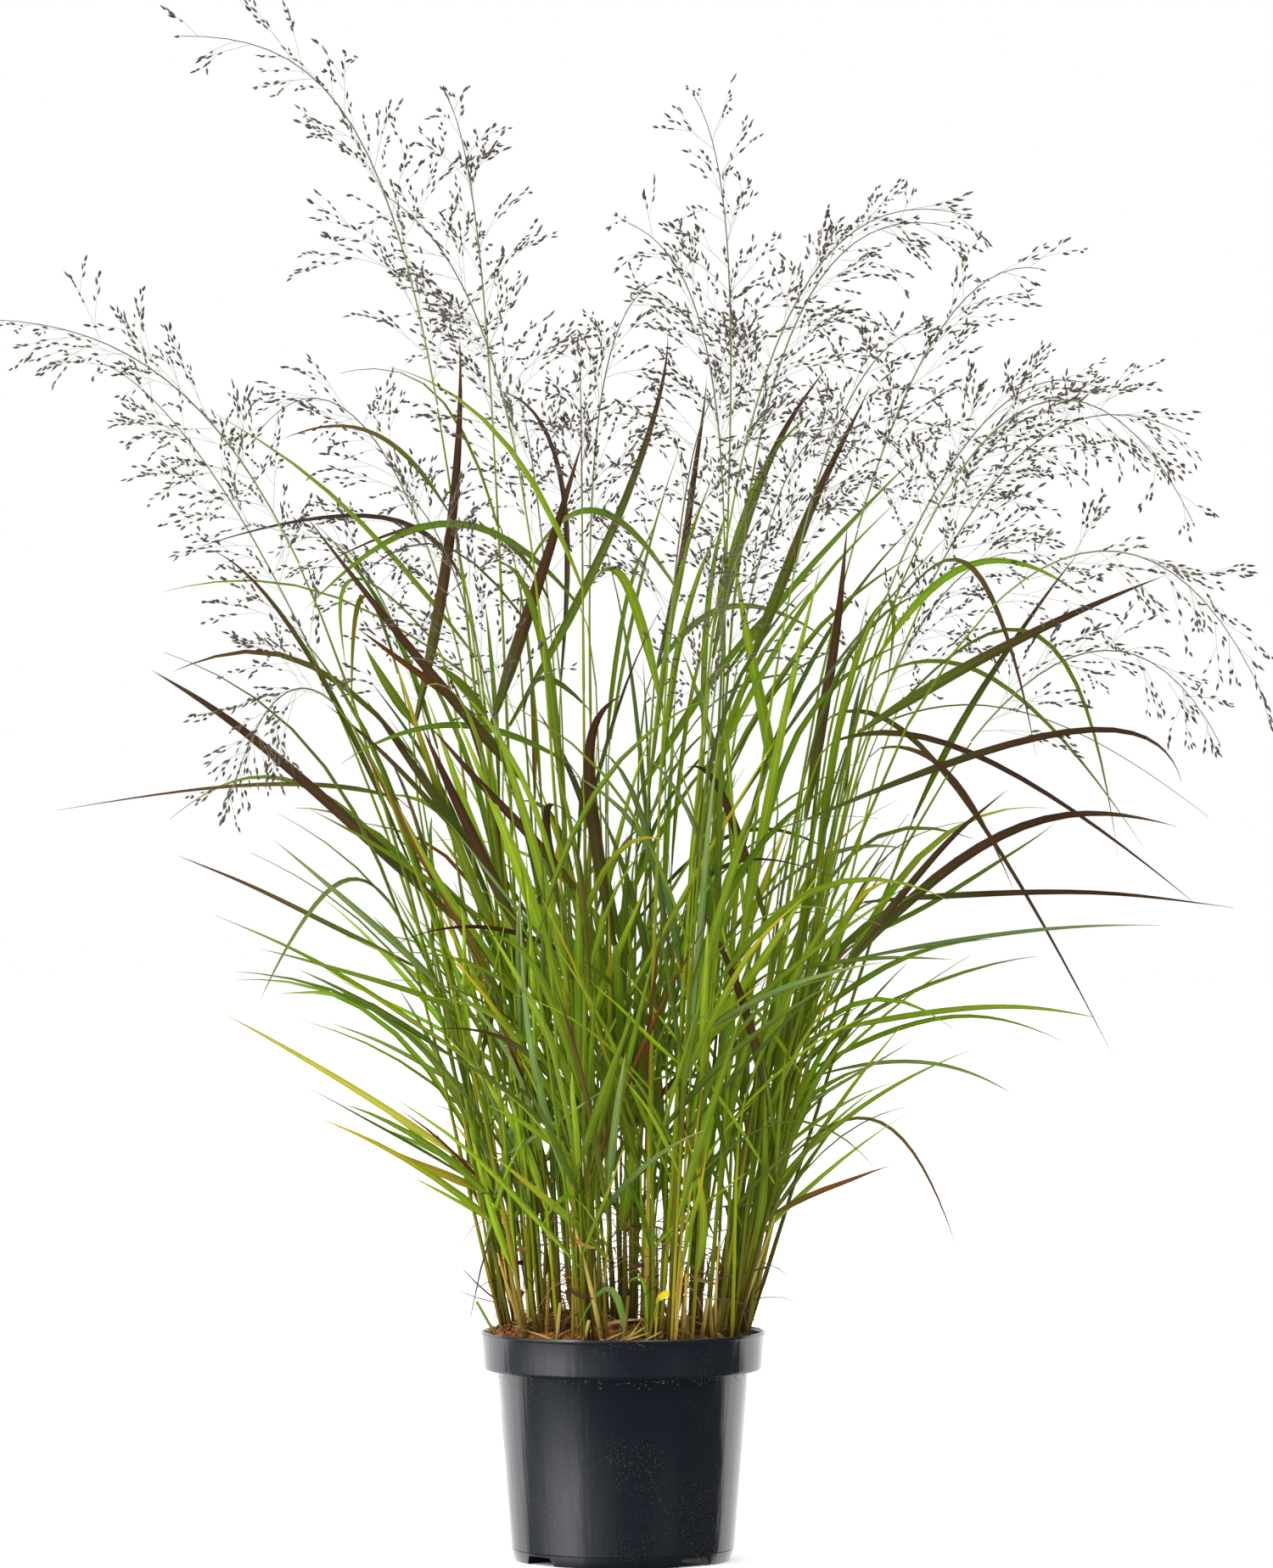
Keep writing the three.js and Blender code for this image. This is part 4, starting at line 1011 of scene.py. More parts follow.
for root_x, root_z, elbow_x, elbow_z, tip_x, tip_z, depth, width, tone in LEAVES:
    fan = 1 / (1 + FAN_PER_MM * (root_z - SOIL_LEVEL))

    def placed(attempt):
        y = depth + DEPTH_TRIES[attempt]
        collar = point(root_x, ROOT_DEPTH * y, root_z)
        elbow = point(elbow_x, ELBOW_DEPTH * y, elbow_z)
        tip = point(tip_x, TIP_DEPTH * y, tip_z)
        index = nearest_tuft(collar[0] * fan, collar[1] * fan)
        return try_shoot(index, collar, elbow, tip, width, roll_to_front(collar, elbow, tip))

    leaf = settle(len(DEPTH_TRIES), placed)
    leaf.name = tone
    leaf.width *= BROAD_GAIN if tone in BROAD_TONES and width >= BROAD_WIDTH else TALL_GAIN
    accept(leaf)


def drawn_leaf(collar, azimuth, length, lean, droop):
    """A leaf's course: up and out from its collar to an elbow, then over to the tip."""
    out, rise = around(1, azimuth), point(0, 0, 1)
    elbow = collar + ELBOW_SHARE * length * (out * math.sin(lean) + rise * math.cos(lean))
    return elbow, elbow + TIP_SHARE * length * (out * math.sin(droop) + rise * math.cos(droop))


def drawn_shoot(index):
    tuft = tufts[index]
    rise = draw(*SHOOT_RISE)
    fan = 1 + FAN_PER_MM * rise
    collar = (around(FOOT_SPREAD, draw(0, math.tau)) + (tuft.x, tuft.y, 0)) * fan + (0, 0, tuft.z + rise)
    azimuth = math.atan2(tuft.y, tuft.x) + draw(-1.3, 1.3)
    lean = draw(0.1, 0.75)
    droop = lean + draw(0.1, 1.5)
    elbow, tip = drawn_leaf(collar, azimuth, draw(*SHOOT_LENGTH), lean, droop)
    return try_shoot(index, collar, elbow, tip, draw(*SHOOT_WIDTH), draw(*LEAF_ROLL))


for index, tuft in enumerate(tufts):
    while len(tuft.strands) < SHOOTS_PER_TUFT:
        accept(settle(TRIES, lambda attempt: drawn_shoot(index)))


def chord_point(course, stations, share):
    """A point of a strand's straight-sided body, where a leaf or branch can root in it."""
    after = next((i for i, station in enumerate(stations) if station >= share), -1)
    after = max(1, after)
    low, high = stations[after - 1], stations[after]
    a, b = course.at(low), course.at(high)
    return a + (b - a) * (share - low) / (high - low)


def drawn_side_leaf(index):
    host = chosen(stems_of(tufts[index]))
    share = draw(0.35, 0.9)
    stations = CULM_STATIONS if host.kind == "culm" else (*STEM_STATIONS, 1)
    root = chord_point(host.stem, [station * host.split for station in stations], share * host.split)
    azimuth = math.atan2(root[1], root[0]) + draw(-1.4, 1.4)
    lean = draw(0.3, 0.9)
    elbow, tip = drawn_leaf(root, azimuth, draw(*SIDE_LENGTH), lean, lean + draw(0.1, 1.5))
    return side_leaf(index, root, elbow, tip, draw(*SIDE_WIDTH), draw(*LEAF_ROLL))


for k in range(SIDE_LEAVES):
    index = k % len(tufts)
    accept(settle(TRIES, lambda attempt: drawn_side_leaf(index)))


def axis_place(culm, share):
    return culm.stem.reached(culm.stem.length() - culm.spray * (1 - share))


def leaving(way, heading, turn, spread):
    """The direction of a branch that leaves a stem at an angle, turned about the stem."""
    across = framed(way, heading, np.asarray(turn))[0]
    return way * math.cos(spread) + across * math.sin(spread)


def hanging(root, out, reach, end, sag, steps=200):
    """The course of a branch, out from its root and over to a tip that hangs a little."""
    tip = root + out * end * reach
    tip[2] -= sag * reach
    return Course(root, root + out * BRANCH_MIDDLE * reach, tip, steps=steps)


def drawn_branch(culm, k, i, attempt):
    along = 0.05 + 0.8 * i / BRANCHES
    neck = 1 - SPIKELET_LENGTH / culm.spray
    stations = [culm.start + (1 - culm.start) * share for share in (*AXIS_STATIONS, neck)]
    place = axis_place(culm, along)
    root = chord_point(culm.stem, stations, place)
    tangent = culm.stem.heading(place)
    turn = i * GOLDEN_TURN + k + draw(-0.5, 0.5) * (1 + attempt / 4)
    reach = culm.reach * (1 - 0.65 * along) * draw(0.8, 1.1) * (1 - attempt / (2 * TRIES))
    out = leaving(tangent, culm.heading, turn, draw(0.65, 0.95))
    course = hanging(root, out, reach, BRANCH_END, BRANCH_SAG)
    markers = markers_along(course, 0.1, 1, lambda s: SPIKELET_RADIUS)
    room = room_for(markers, SPRAY_OWNER + k, False)
    return SimpleNamespace(course=course, markers=markers, reach=reach, room=room, own=1)


for k, culm in enumerate(culms):
    culm.branches = []
    for i in range(BRANCHES):
        branch = settle(TRIES, lambda attempt: drawn_branch(culm, k, i, attempt))
        keep_marks(branch.markers, SPRAY_OWNER + k)
        culm.branches.append(branch)

# Tufts
# Each crown carries its stems, round and jointed, with a leaf blade from each collar and more from
# the sheaths lower down. Feet are dead straw, blades run from fresh green to dried brown and red.
STEM_JOINTS = (0.08, 0.25, 0.48, 0.75)
EXTRA_STEMS = 3
EXTRA_LEAVES = 5
LOW_LEAVES = 15
DEAD_STEMS = 3
DEAD_BLADES = 5
DEAD_WISPS = 13
FOOT_IN_SOIL = 7
TONES = {
    "green": ("#586a0a", "#506c0a", "#486604", "#4c6806", "#5c6c10"),
    "deep": ("#445608", "#3c5206", "#344c04", "#384e06", "#46540c"),
    "bright": ("#667a0c", "#5e7c0a", "#587e06", "#5e8008", "#768a1a"),
    "sage": ("#4c6218", "#506822", "#566c2a", "#5c6e30", "#68703e"),
    "lime": ("#747c10", "#7e8614", "#868e1a", "#84821e", "#7a7024"),
    "umber": ("#4a500c", "#3c2a0a", "#301c0c", "#321e12", "#442a1e"),
    "russet": ("#4e560c", "#4a2c0a", "#542408", "#5c2c0c", "#6a3e16"),
    "bronze": ("#4c5a0c", "#4c5210", "#4a4212", "#463216", "#44301e"),
    "plum": ("#4a5020", "#3a2c1e", "#32201a", "#362420", "#4c3a38"),
    "gold": ("#666c0a", "#7e760c", "#8a7c10", "#7c5c12", "#58380e"),
    "amber": ("#54560c", "#60400a", "#6a3a0a", "#5c320c", "#4a2c10"),
    "tipped": ("#566c0a", "#546c08", "#607408", "#787a08", "#94800c"),
    "half": ("#52660a", "#4c600a", "#40400e", "#342012", "#3c2a1c"),
    "faded": ("#46580c", "#4e5424", "#4c403c", "#54501a", "#442c10"),
}
UNDER_TONES = {
    "green": ("#5c6e18", "#546a10", "#566c12", "#586418"),
    "deep": ("#46561a", "#405212", "#425414", "#48521a"),
    "bright": ("#6a801c", "#688214", "#6c861a", "#748628"),
    "sage": ("#4e6430", "#546a36", "#5a703e", "#68704a"),
    "lime": ("#84862c", "#888a2c", "#84822c", "#7a7228"),
    "tipped": ("#5a6c16", "#586c12", "#667412", "#7c7a14", "#90801a"),
    "gold": ("#646a12", "#7a7616", "#847818", "#74561a", "#543a18"),
    "amber": ("#4e5412", "#543c12", "#5a3612", "#523214", "#442c18"),
    "half": ("#50601a", "#4c5a18", "#443e18", "#382618", "#402e22"),
    "bronze": ("#4e5a1a", "#4e501a", "#48421c", "#44321c", "#442f20"),
    "dry": ("#4c5418", "#42301a", "#3a2616", "#4a3422"),
}
GROWING = ("green", "green", "deep", "bright", "bright", "green", "sage", "half", "deep", "bronze")
FRESH = ("bright", "bright", "green", "green", "deep", "sage", "green", "tipped", "bright", "deep",
         "green", "amber", "bright", "sage", "deep", "green", "tipped")
FOOT_TONES = (
    ("#4a3c10", "#565a14", "#566610", "#586a0a", "#526a08", "#5c6a14"),
    ("#6a5420", "#766e20", "#6a6e12", "#62700c", "#586c0a", "#626e18"),
    ("#8a7030", "#9a8438", "#8c8626", "#74781a", "#62700e", "#68721c"),
    ("#34260c", "#443a10", "#4e4e12", "#545a10", "#50600c", "#586216"),
    ("#625a12", "#747c10", "#728a0a", "#728a0a", "#6c860a", "#6e7c1e"),
    ("#42340e", "#505a0e", "#526c0a", "#586c08", "#546e08", "#5e6c14"),
)
FOOT_HEIGHTS = (0, 28, 75, 140, 240, 700)
FOLD_TURN = 1.6
# Painted shade: the colour of the upper leaves is darkened, as they stand against the light
UPPER_HEIGHT = 380
UPPER_PAINTED_SHADE = 0.7
CROWN_SIZE = (12, 12, 6.5)
CROWN_DEPTH = 5.5
CULM_SIZE = (1.15, 1.4)
SHOOT_SIZE = (0.78, 1.32)
DEAD_SIZE = (0.9, 1.7)
WISP_RADIUS = 0.45
PLAIN_SLIMMING = 0.86
# Nearest and farthest foot from the middle of the crown, and the farthest from the pot's axis
YOUNG_RING = (7, 19)
BROKEN_RING = (3, 11)
WISP_RING = (4, 12)
CLUMP_RADIUS = 84
YOUNG_TRIES = 6
THIN_RISE = (90, 400)
THIN_LENGTH = (120, 260)
THIN_WIDTH = (3, 5.4)
BROKEN_HEIGHT = (14, 90)
DEAD_LEAF_REACH = (5, 26)
DEAD_LEAF_WIDTH = (1.2, 3.4)
DEAD_LEAF_DEPTH = 0.5
WISP_REACH = (8, 42)
WISP_TONES = ("#4a3420", "#5f4528", "#7a5a34", "#8a6c3e")
# Young leaves that stand up, and short ones low down: height of the root, length, lean, bend, width
UPRIGHT_LEAF = ((90, 280), (130, 280), (0.05, 0.6), (0.05, 1.3), (3.4, 6.8))
LOW_LEAF = ((50, 210), (70, 200), (0.2, 1.1), (-0.1, 0.6), (2.6, 5.8))


def stem_stations():
    """Places and sizes up a stem, thicker at its joints and for a little above each of them."""
    stations = [(0, 1.1, 1.1)]
    for joint in STEM_JOINTS:
        for step, size in ((-0.005, 0.98), (0.002, 1.22)):
            size *= 1.08 - 0.6 * joint
            stations.append((joint + step, size, size))
    return stations + [(0.9, 0.52, 0.52), (1, 0.45, 0.45)]


stem = strand(round_section(6), stem_stations())
bpy.ops.object.select_all(action="DESELECT")
bpy.ops.mesh.primitive_ico_sphere_add(subdivisions=2, radius=1)
knot = bpy.context.object
for corner in knot.data.vertices:
    corner.co *= 0.92 + 0.16 * noise.noise(corner.co * 2.3)
crown = pattern_of(knot)


def under_of(tone):
    return UNDER_TONES.get(tone, UNDER_TONES["dry"])


def lay_blade(sheaf, pattern, leaf, tone):
    """Lays a blade. One that folds back over itself also turns its hanging half to the front."""
    root, near, _, tip = leaf.blade.points
    elbow = root + (near - root) / BLADE_CROOK
    openness = span(tip, root) / (span(elbow, root) + span(tip, elbow))
    turn = min(FOLD_TURN, 2 / openness - 2) * leaf.roll
    # A random tone for each blade, times a painted shade on leaves that root high up
    shade = draw(0.86, 1.14) * (UPPER_PAINTED_SHADE if root[2] > UPPER_HEIGHT else 1)
    lay_strand(sheaf, pattern, leaf.blade, leaf.width, 1, TONES[tone], under_of(tone), roll=leaf.roll,
               twist=turn + draw(-0.5, 0.5), sway=draw(-1.5, 1.5), shade=shade)


def lowered(course, depth):
    """A course whose foot stands deeper in the soil."""
    points = course.points.copy()
    points[0][2] -= depth
    return Course(*points, steps=len(course.places) - 1)


def beside(tuft, near, far):
    """A drawn point beside a crown, and its angle."""
    turn = draw(0, math.tau)
    return around(draw(near, far), turn) + (tuft.x, tuft.y, 0), turn


def drawn_thin_shoot(index):
    """A slight young shoot between the older ones, with one narrow leaf at its top."""
    tuft = tufts[index]
    rise = draw(*THIN_RISE)
    fan = 1 + FAN_PER_MM * rise
    foot, _ = beside(tuft, *YOUNG_RING)
    foot *= min(1, CLUMP_RADIUS / span(foot, 0))
    collar = foot * fan + point(draw(-14, 14), draw(-14, 14), tuft.z + rise)
    azimuth = math.atan2(tuft.y, tuft.x) + draw(-1.6, 1.6)
    lean = draw(0.05, 0.5)
    elbow, tip = drawn_leaf(collar, azimuth, draw(*THIN_LENGTH), lean, lean + draw(0.1, 1.3))
    roll = roll_to_front(collar, elbow, tip) + draw(-0.6, 0.6)
    shoot = try_shoot(index, collar, elbow, tip, draw(*THIN_WIDTH), roll)
    foot[2] = soil_height(*foot[:2])
    shoot.stem = stem_to(foot, collar, elbow)
    shoot.kind, shoot.name = "young", chosen(FRESH)
    return shoot


def drawn_fresh_leaf(index, low):
    """A young leaf from one of the stems: an upright one, or a short one that crosses others."""
    course = chosen(stems_of(tufts[index])).stem
    rises, lengths, leans, bends, widths = LOW_LEAF if low else UPRIGHT_LEAF
    root = course.at(course.reached(min(draw(*rises), 0.9 * course.length())))
    azimuth = draw(0, math.tau) if low else math.atan2(root[1], root[0]) + draw(-1.8, 1.8)
    length, lean = draw(*lengths), draw(*leans)
    elbow, tip = drawn_leaf(root, azimuth, length, lean, lean + draw(*bends))
    width = draw(*widths)
    roll = roll_to_front(root, elbow, tip) + draw(-0.6, 0.6)
    return side_leaf(index, root, elbow, tip, width, roll, chosen(FRESH))


# Leaves placed one by one at the front and the left: root, elbow, tip, width; colour by name
FRONT_LEAVES = (
    ((-136, -50, 556), (-158, -60, 582), (-171, -64, 608), 7, "green"),
    ((-84, -40, 552), (-106, -50, 590), (-126, -54, 594), 8, "green"),
    ((-76, -50, 566), (-58, -60, 606), (-20, -64, 562), 7, "deep"),
    ((-96, -60, 468), (-132, -72, 520), (-169, -78, 572), 7, "half"),
    ((-90, -50, 420), (-150, -66, 470), (-205, -76, 500), 5, "green"),
    ((-70, -60, 380), (-118, -76, 440), (-150, -84, 505), 6.5, "bright"),
    ((-52, -66, 376), (-96, -80, 480), (-130, -86, 574), 8, "bright"),
    ((-38, -70, 372), (-72, -84, 470), (-110, -90, 566), 8, "bright"),
    ((-70, -60, 379), (-120, -74, 500), (-152, -80, 604), 7, "tipped"),
    ((-78, -56, 372), (-138, -70, 480), (-182, -76, 560), 7, "amber"),
    ((-30, -72, 378), (-58, -86, 490), (-94, -92, 584), 7, "green"),
    ((-8, -82, 205), (-48, -90, 246), (-88, -84, 272), 7.5, "tipped"),
    ((0, -80, 220), (4, -90, 258), (12, -94, 294), 8, "bright"),
    ((-45, -74, 256), (-34, -88, 300), (-10, -94, 346), 7, "sage"),
    ((-39, -80, 262), (-64, -94, 330), (-68, -98, 448), 5.5, "sage"),
    ((34, -78, 318), (60, -96, 348), (72, -98, 232), 6, "deep"),
    ((58, -66, 356), (110, -90, 392), (170, -100, 400), 5, "sage"),
    ((109, -30, 229), (84, -46, 240), (52, -60, 232), 3.6, "sage"),
    ((30, -74, 310), (76, -94, 380), (132, -112, 460), 7.5, "bright"),
    ((-24, -80, 300), (-52, -96, 360), (-90, -104, 428), 6.5, "bright"),
    ((38, -78, 328), (0, -98, 388), (-34, -104, 404), 5.5, "deep"),
    ((12, -84, 260), (-8, -98, 322), (-52, -108, 388), 6, "green"),
    ((-52, -76, 236), (-66, -90, 300), (-118, -98, 352), 6, "bright"),
    ((66, -66, 250), (70, -84, 318), (96, -98, 392), 6, "green"),
    ((-66, -66, 190), (-92, -78, 240), (-104, -82, 310), 5, "bright"),
    ((52, -72, 196), (60, -86, 236), (40, -94, 290), 5.5, "tipped"),
    ((86, -50, 210), (98, -64, 262), (92, -72, 320), 5.5, "green"),
)


def nearest_stem(root):
    """The tuft, and the point on one of its stems, that lie nearest to a root seen from the front."""
    found = []
    for index, tuft in enumerate(tufts):
        for host in stems_of(tuft):
            spots = host.stem.at(np.linspace(0.1, host.split, 60))
            away = np.abs(spots - root) @ (1, 0.15, 1)
            found.append((away.min(), index, spots[away.argmin()]))
    return min(found, key=lambda item: item[0])[1:]


def lay_dead(sheaf, tuft):
    """Last year's stems, broken off short, dried leaves and brown wisps about the crown."""
    for _ in range(DEAD_STEMS):
        foot, _ = beside(tuft, *BROKEN_RING)
        foot[2] = tuft.z - 5
        height = draw(*BROKEN_HEIGHT)
        fan, lean = FAN_PER_MM * height, 0.22 * height
        top = foot + point(foot[0] * fan + draw(-lean, lean), foot[1] * fan + draw(-lean, lean), height)
        middle = (foot + top) / 2 + point(draw(-3, 3), draw(-3, 3), 0)
        size = draw(*DEAD_SIZE)
        tone = chosen(STRAW)
        lay_strand(sheaf, stem, Course(foot, middle, top), size, size, ("#4f3a20", tone, tone))
    for kind in [blade] * DEAD_BLADES + [fibre] * DEAD_WISPS:
        foot, turn = beside(tuft, *WISP_RING)
        foot[2] = tuft.z + draw(0, 90)
        away = around(1, turn + draw(-1.2, 1.2))
        reach = draw(*(DEAD_LEAF_REACH if kind is blade else WISP_REACH))
        tip = foot + away * reach + point(0, 0, draw(-26, 22))
        tip[2] = max(tip[2], tuft.z + 1)
        over = foot + away * reach * 0.6 + point(draw(-6, 6), draw(-6, 6), draw(-2, 16))
        tone = chosen(WISP_TONES)
        width, depth = WISP_RADIUS, WISP_RADIUS
        if kind is blade:
            width, depth = draw(*DEAD_LEAF_WIDTH), DEAD_LEAF_DEPTH
        lay_strand(sheaf, kind, Course(foot, over, tip), width, depth, (tone, tone, "#5a3a22"),
                   roll=draw(-1.5, 1.5), twist=draw(-3, 3))


# Living grass, satin rather than glossy. A pale midrib and fine veins run the length of each blade,
# about half a mm apart, on a streaky, slightly blotched green, and the backs are paler.
grass, tree, shader = finish_named("satin grass blades and stems")
tint = node(tree, "VertexColor", {"layer_name": "tint"})
way = node(tree, "UVMap", {"uv_map": "course"})
fine = node(tree, "Mapping", {"Scale": (26, 18, 1)}, {"Vector": way})
veins = node(tree, "TexNoise", {"Scale": 1, "Detail": 2}, {"Vector": fine})
place = node(tree, "TexCoord").outputs["Object"]
blotch = node(tree, "TexNoise", {"Scale": 55, "Detail": 3}, {"Vector": place})
streak = node(tree, "MapRange", {"To Min": 0.78, "To Max": 1.22}, {"Value": veins})
clouded = node(tree, "MapRange", {"To Min": 0.8, "To Max": 1.2}, {"Value": blotch})
light = node(tree, "Math", {"operation": "MULTIPLY"}, {0: streak, 1: clouded})
side = node(tree, "SeparateXYZ", {}, {"Vector": way}).outputs["X"]
off = node(tree, "Math", {"operation": "SUBTRACT", 1: 0.5}, {0: side})
off = node(tree, "Math", {"operation": "ABSOLUTE"}, {0: off})
rib = node(tree, "MapRange", {"From Min": 0.1, "From Max": 0.04, "To Min": 1, "To Max": 1.3},
           {"Value": off})
light = node(tree, "Math", {"operation": "MULTIPLY"}, {0: light, 1: rib})
ageing = node(tree, "Mapping", {"Scale": (2.5, 30, 1)}, {"Vector": way})
ageing = node(tree, "TexNoise", {"Scale": 1, "Detail": 3}, {"Vector": ageing})
ageing = node(tree, "MapRange", {"From Min": 0.35, "From Max": 0.65}, {"Value": ageing})
young = node(tree, "VectorMath", {"operation": "MULTIPLY", 1: (0.92, 1.06, 0.9)}, {0: tint})
old = node(tree, "VectorMath", {"operation": "MULTIPLY", 1: (1.2, 0.96, 0.85)}, {0: tint})
tint = node(tree, "Mix", {"data_type": "RGBA"}, {0: ageing, 6: young, 7: old}).outputs[2]
toned = node(tree, "VectorMath", {"operation": "SCALE"}, {"Vector": tint, "Scale": light})
relief = node(tree, "Bump", {"Strength": 0.35, "Distance": 0.0003}, {"Height": veins})
gloss = node(tree, "MapRange", {"To Min": 0.45, "To Max": 0.65}, {"Value": blotch})
fed(tree, shader, {"Specular IOR Level": 0.08},
    {"Base Color": toned, "Normal": relief, "Roughness": gloss})

for index in range(len(tufts)):
    for _ in range(EXTRA_STEMS):
        accept(settle(YOUNG_TRIES, lambda attempt: drawn_thin_shoot(index)))
    for k in range(EXTRA_LEAVES + LOW_LEAVES):
        accept(settle(YOUNG_TRIES, lambda attempt: drawn_fresh_leaf(index, k >= EXTRA_LEAVES)))
for root, elbow, tip, width, tone in FRONT_LEAVES:
    index, stem_point = nearest_stem(point(*root))
    back = point(0, stem_point[1] - root[1], 0)
    root, elbow, tip = stem_point, point(*elbow) + back, point(*tip) + back
    accept(side_leaf(index, root, elbow, tip, width, roll_to_front(root, elbow, tip), tone))
for index, tuft in enumerate(tufts):
    sheaf = Sheaf()
    middle = (tuft.x, tuft.y, tuft.z - CROWN_DEPTH)
    sheaf.lay_plain(crown, crown.corners * CROWN_SIZE + middle, "#3a2413")
    for grown in tuft.strands:
        shade = draw(0.85, 1.12)
        if grown.kind != "side":
            size = draw(*(CULM_SIZE if grown.kind == "culm" else SHOOT_SIZE))
            lay_strand(sheaf, stem, lowered(grown.stem, FOOT_IN_SOIL), size, size, chosen(FOOT_TONES),
                       part=(0, grown.start), shade=shade, key_places=FOOT_HEIGHTS)
        if grown.kind != "culm":
            if not grown.name:
                grown.width *= PLAIN_SLIMMING
            lay_blade(sheaf, long_blade if grown.kind == "shoot" else blade, grown,
                      grown.name or chosen(GROWING))
    lay_dead(sheaf, tuft)
    name = f"tuft_{index + 1:02d}"
    made = sheaf.piece(f"{name}_grass", grass, 42)
    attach(made, "root")
    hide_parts(name)

# Flower sprays
# Open panicles: a thin main axis, hair-fine branches that leave it in a spiral and droop at their
# ends, finer branchlets on those, and small pointed husks in strings along their outer parts.
AXIS_RADIUS = 0.72
EXTRA_BRANCHES = 17
HUSK_LENGTH = (3, 6.2)
HUSK_RADIUS = (0.62, 1.2)
HUSK_SPACING = 6.7
HAIR_RADIUS = 0.17
TWIG_RADIUS = 0.12
TWIG_SPACING = 25
TWIG_SAG = 0.12
SPRAY_MARGIN = 6
AXIS_TONES = ("#617634", "#545634", "#454131", "#3f3a2f")
HAIR_TONES = ("#6c6a50", "#66634f", "#575142")
HUSK_TONES = ("#31281c", "#382e20", "#2b251b", "#403524", "#4c4028", "#353220")

axis = strand(round_section(5), [(k / 16, 1 - 0.65 * k / 16, 1 - 0.65 * k / 16) for k in range(17)])
hair = strand(round_section(3), [(k / 6, 1 - 0.5 * k / 6, 1 - 0.5 * k / 6) for k in range(7)])
twiglet = strand(round_section(3), [(0, 1, 1), (0.35, 0.9, 0.9), (0.7, 0.75, 0.75), (1, 0.5, 0.5)])
husk_stations = [(0, 0.3, 0.3), (0.3, 1, 0.85), (0.62, 0.8, 0.7), (1, 0.12, 0.12)]
husk = strand(round_section(4), husk_stations)


def lay_husk(sheaf, root, way):
    """A husk that stands a little off its branchlet, leaning out along it."""
    lean = np.array([draw(-0.34, 0.34) for _ in range(3)])
    way = way + lean
    way = way / np.linalg.norm(way)
    length = draw(*HUSK_LENGTH)
    size = draw(*HUSK_RADIUS)
    start = root + way * draw(0, 1.2) + lean * 2
    side = np.cross(way, (0.3, 0.2, 0.93))
    side = side / np.linalg.norm(side)
    up = np.cross(way, side)
    c = husk.corners
    corners = start + side * c[:, 0:1] * size + up * c[:, 1:2] * size + way * c[:, 2:3] * length
    tints = graded((chosen(HUSK_TONES), chosen(HUSK_TONES)), c[husk.loops, 2]) * draw(0.8, 1.25)
    sheaf.lay(husk, corners, tints, np.column_stack((c[husk.loops, 0], c[husk.loops, 2] * length * MM)))


def lay_string(sheaf, course, first, length):
    """Husks along a branchlet, from a place on it out to its tip."""
    count = max(1, round(length * (1 - first) / HUSK_SPACING))
    for k in range(count):
        t = first + (1 - first) * (k + draw(0.2, 0.8)) / count
        lay_husk(sheaf, course.at(t), course.heading(t))
    lay_husk(sheaf, course.at(1), course.heading(1))


def inside(tip):
    """Whether a tip keeps within the box of the solids, give or take a margin."""
    return all(low / MM - SPRAY_MARGIN < v < high / MM + SPRAY_MARGIN
               for low, v, high in zip(cad_box[0], tip, cad_box[1]))


def lay_branch(sheaf, course, length):
    """A branch with its own branchlets, all strung with husks."""
    lay_strand(sheaf, hair, course, HAIR_RADIUS, HAIR_RADIUS, HAIR_TONES)
    lay_string(sheaf, course, 0.45, length)
    count = max(1, round(length / TWIG_SPACING))
    for k in range(count):
        t = 0.12 + 0.6 * (k + draw(0.1, 0.9)) / count
        root, way = course.at(t), course.heading(t)
        size = (0.46 * length + 12) * (1.15 - 0.75 * t) * draw(0.7, 1.25)
        heading = flat_heading(course.points[0], course.points[-1])
        out = leaving(way, heading, draw(0, math.tau), draw(0.25, 0.65))
        twig = hanging(root, out, size, 1, TWIG_SAG, steps=12)
        if inside(twig.points[2]):
            lay_strand(sheaf, twiglet, twig, TWIG_RADIUS, TWIG_RADIUS, HAIR_TONES)
            lay_string(sheaf, twig, 0.3, size)


# Dry husks, matt grey-brown to olive, with a fine grain along each.
chaff, tree, shader = finish_named("dry grey-brown husks")
tint = node(tree, "VertexColor", {"layer_name": "tint"})
place = node(tree, "TexCoord").outputs["Object"]
grain = node(tree, "TexNoise", {"Scale": 700, "Detail": 2}, {"Vector": place})
shadow = node(tree, "MapRange", {"To Min": 0.7, "To Max": 1.3}, {"Value": grain})
toned = node(tree, "VectorMath", {"operation": "SCALE"}, {"Vector": tint, "Scale": shadow})
relief = node(tree, "Bump", {"Strength": 0.3, "Distance": 0.0002}, {"Height": grain})
fed(tree, shader, {"Roughness": 0.7}, {"Base Color": toned, "Normal": relief})

for k, culm in enumerate(culms):
    sheaf = Sheaf()
    lay_strand(sheaf, axis, culm.stem, AXIS_RADIUS, AXIS_RADIUS, AXIS_TONES, part=(culm.start, 1))
    lay_husk(sheaf, culm.stem.at(1), culm.stem.heading(1))
    for branch in culm.branches:
        lay_branch(sheaf, branch.course, branch.reach)
    for i in range(EXTRA_BRANCHES):
        along = 0.04 + 0.94 * (i + draw(0, 0.9)) / EXTRA_BRANCHES
        place = axis_place(culm, min(along, 0.985))
        root = culm.stem.at(place)
        way = culm.stem.heading(place)
        turn = i * GOLDEN_TURN + k + 1.3 + draw(-0.6, 0.6)
        reach = culm.reach * (1 - 0.66 * along) * draw(0.6, 1.2)
        out = leaving(way, culm.heading, turn, draw(0.4, 0.95))
        sag = draw(0.02, 0.2)
        if not inside(root + out * reach):
            reach /= 2
        lay_branch(sheaf, hanging(root, out, reach, BRANCH_END, sag, steps=24), reach)
    name = f"spray_{k + 1:02d}"
    made = sheaf.piece(f"{name}_flowers", chaff, 50)
    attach(made, "root")
    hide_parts(name)

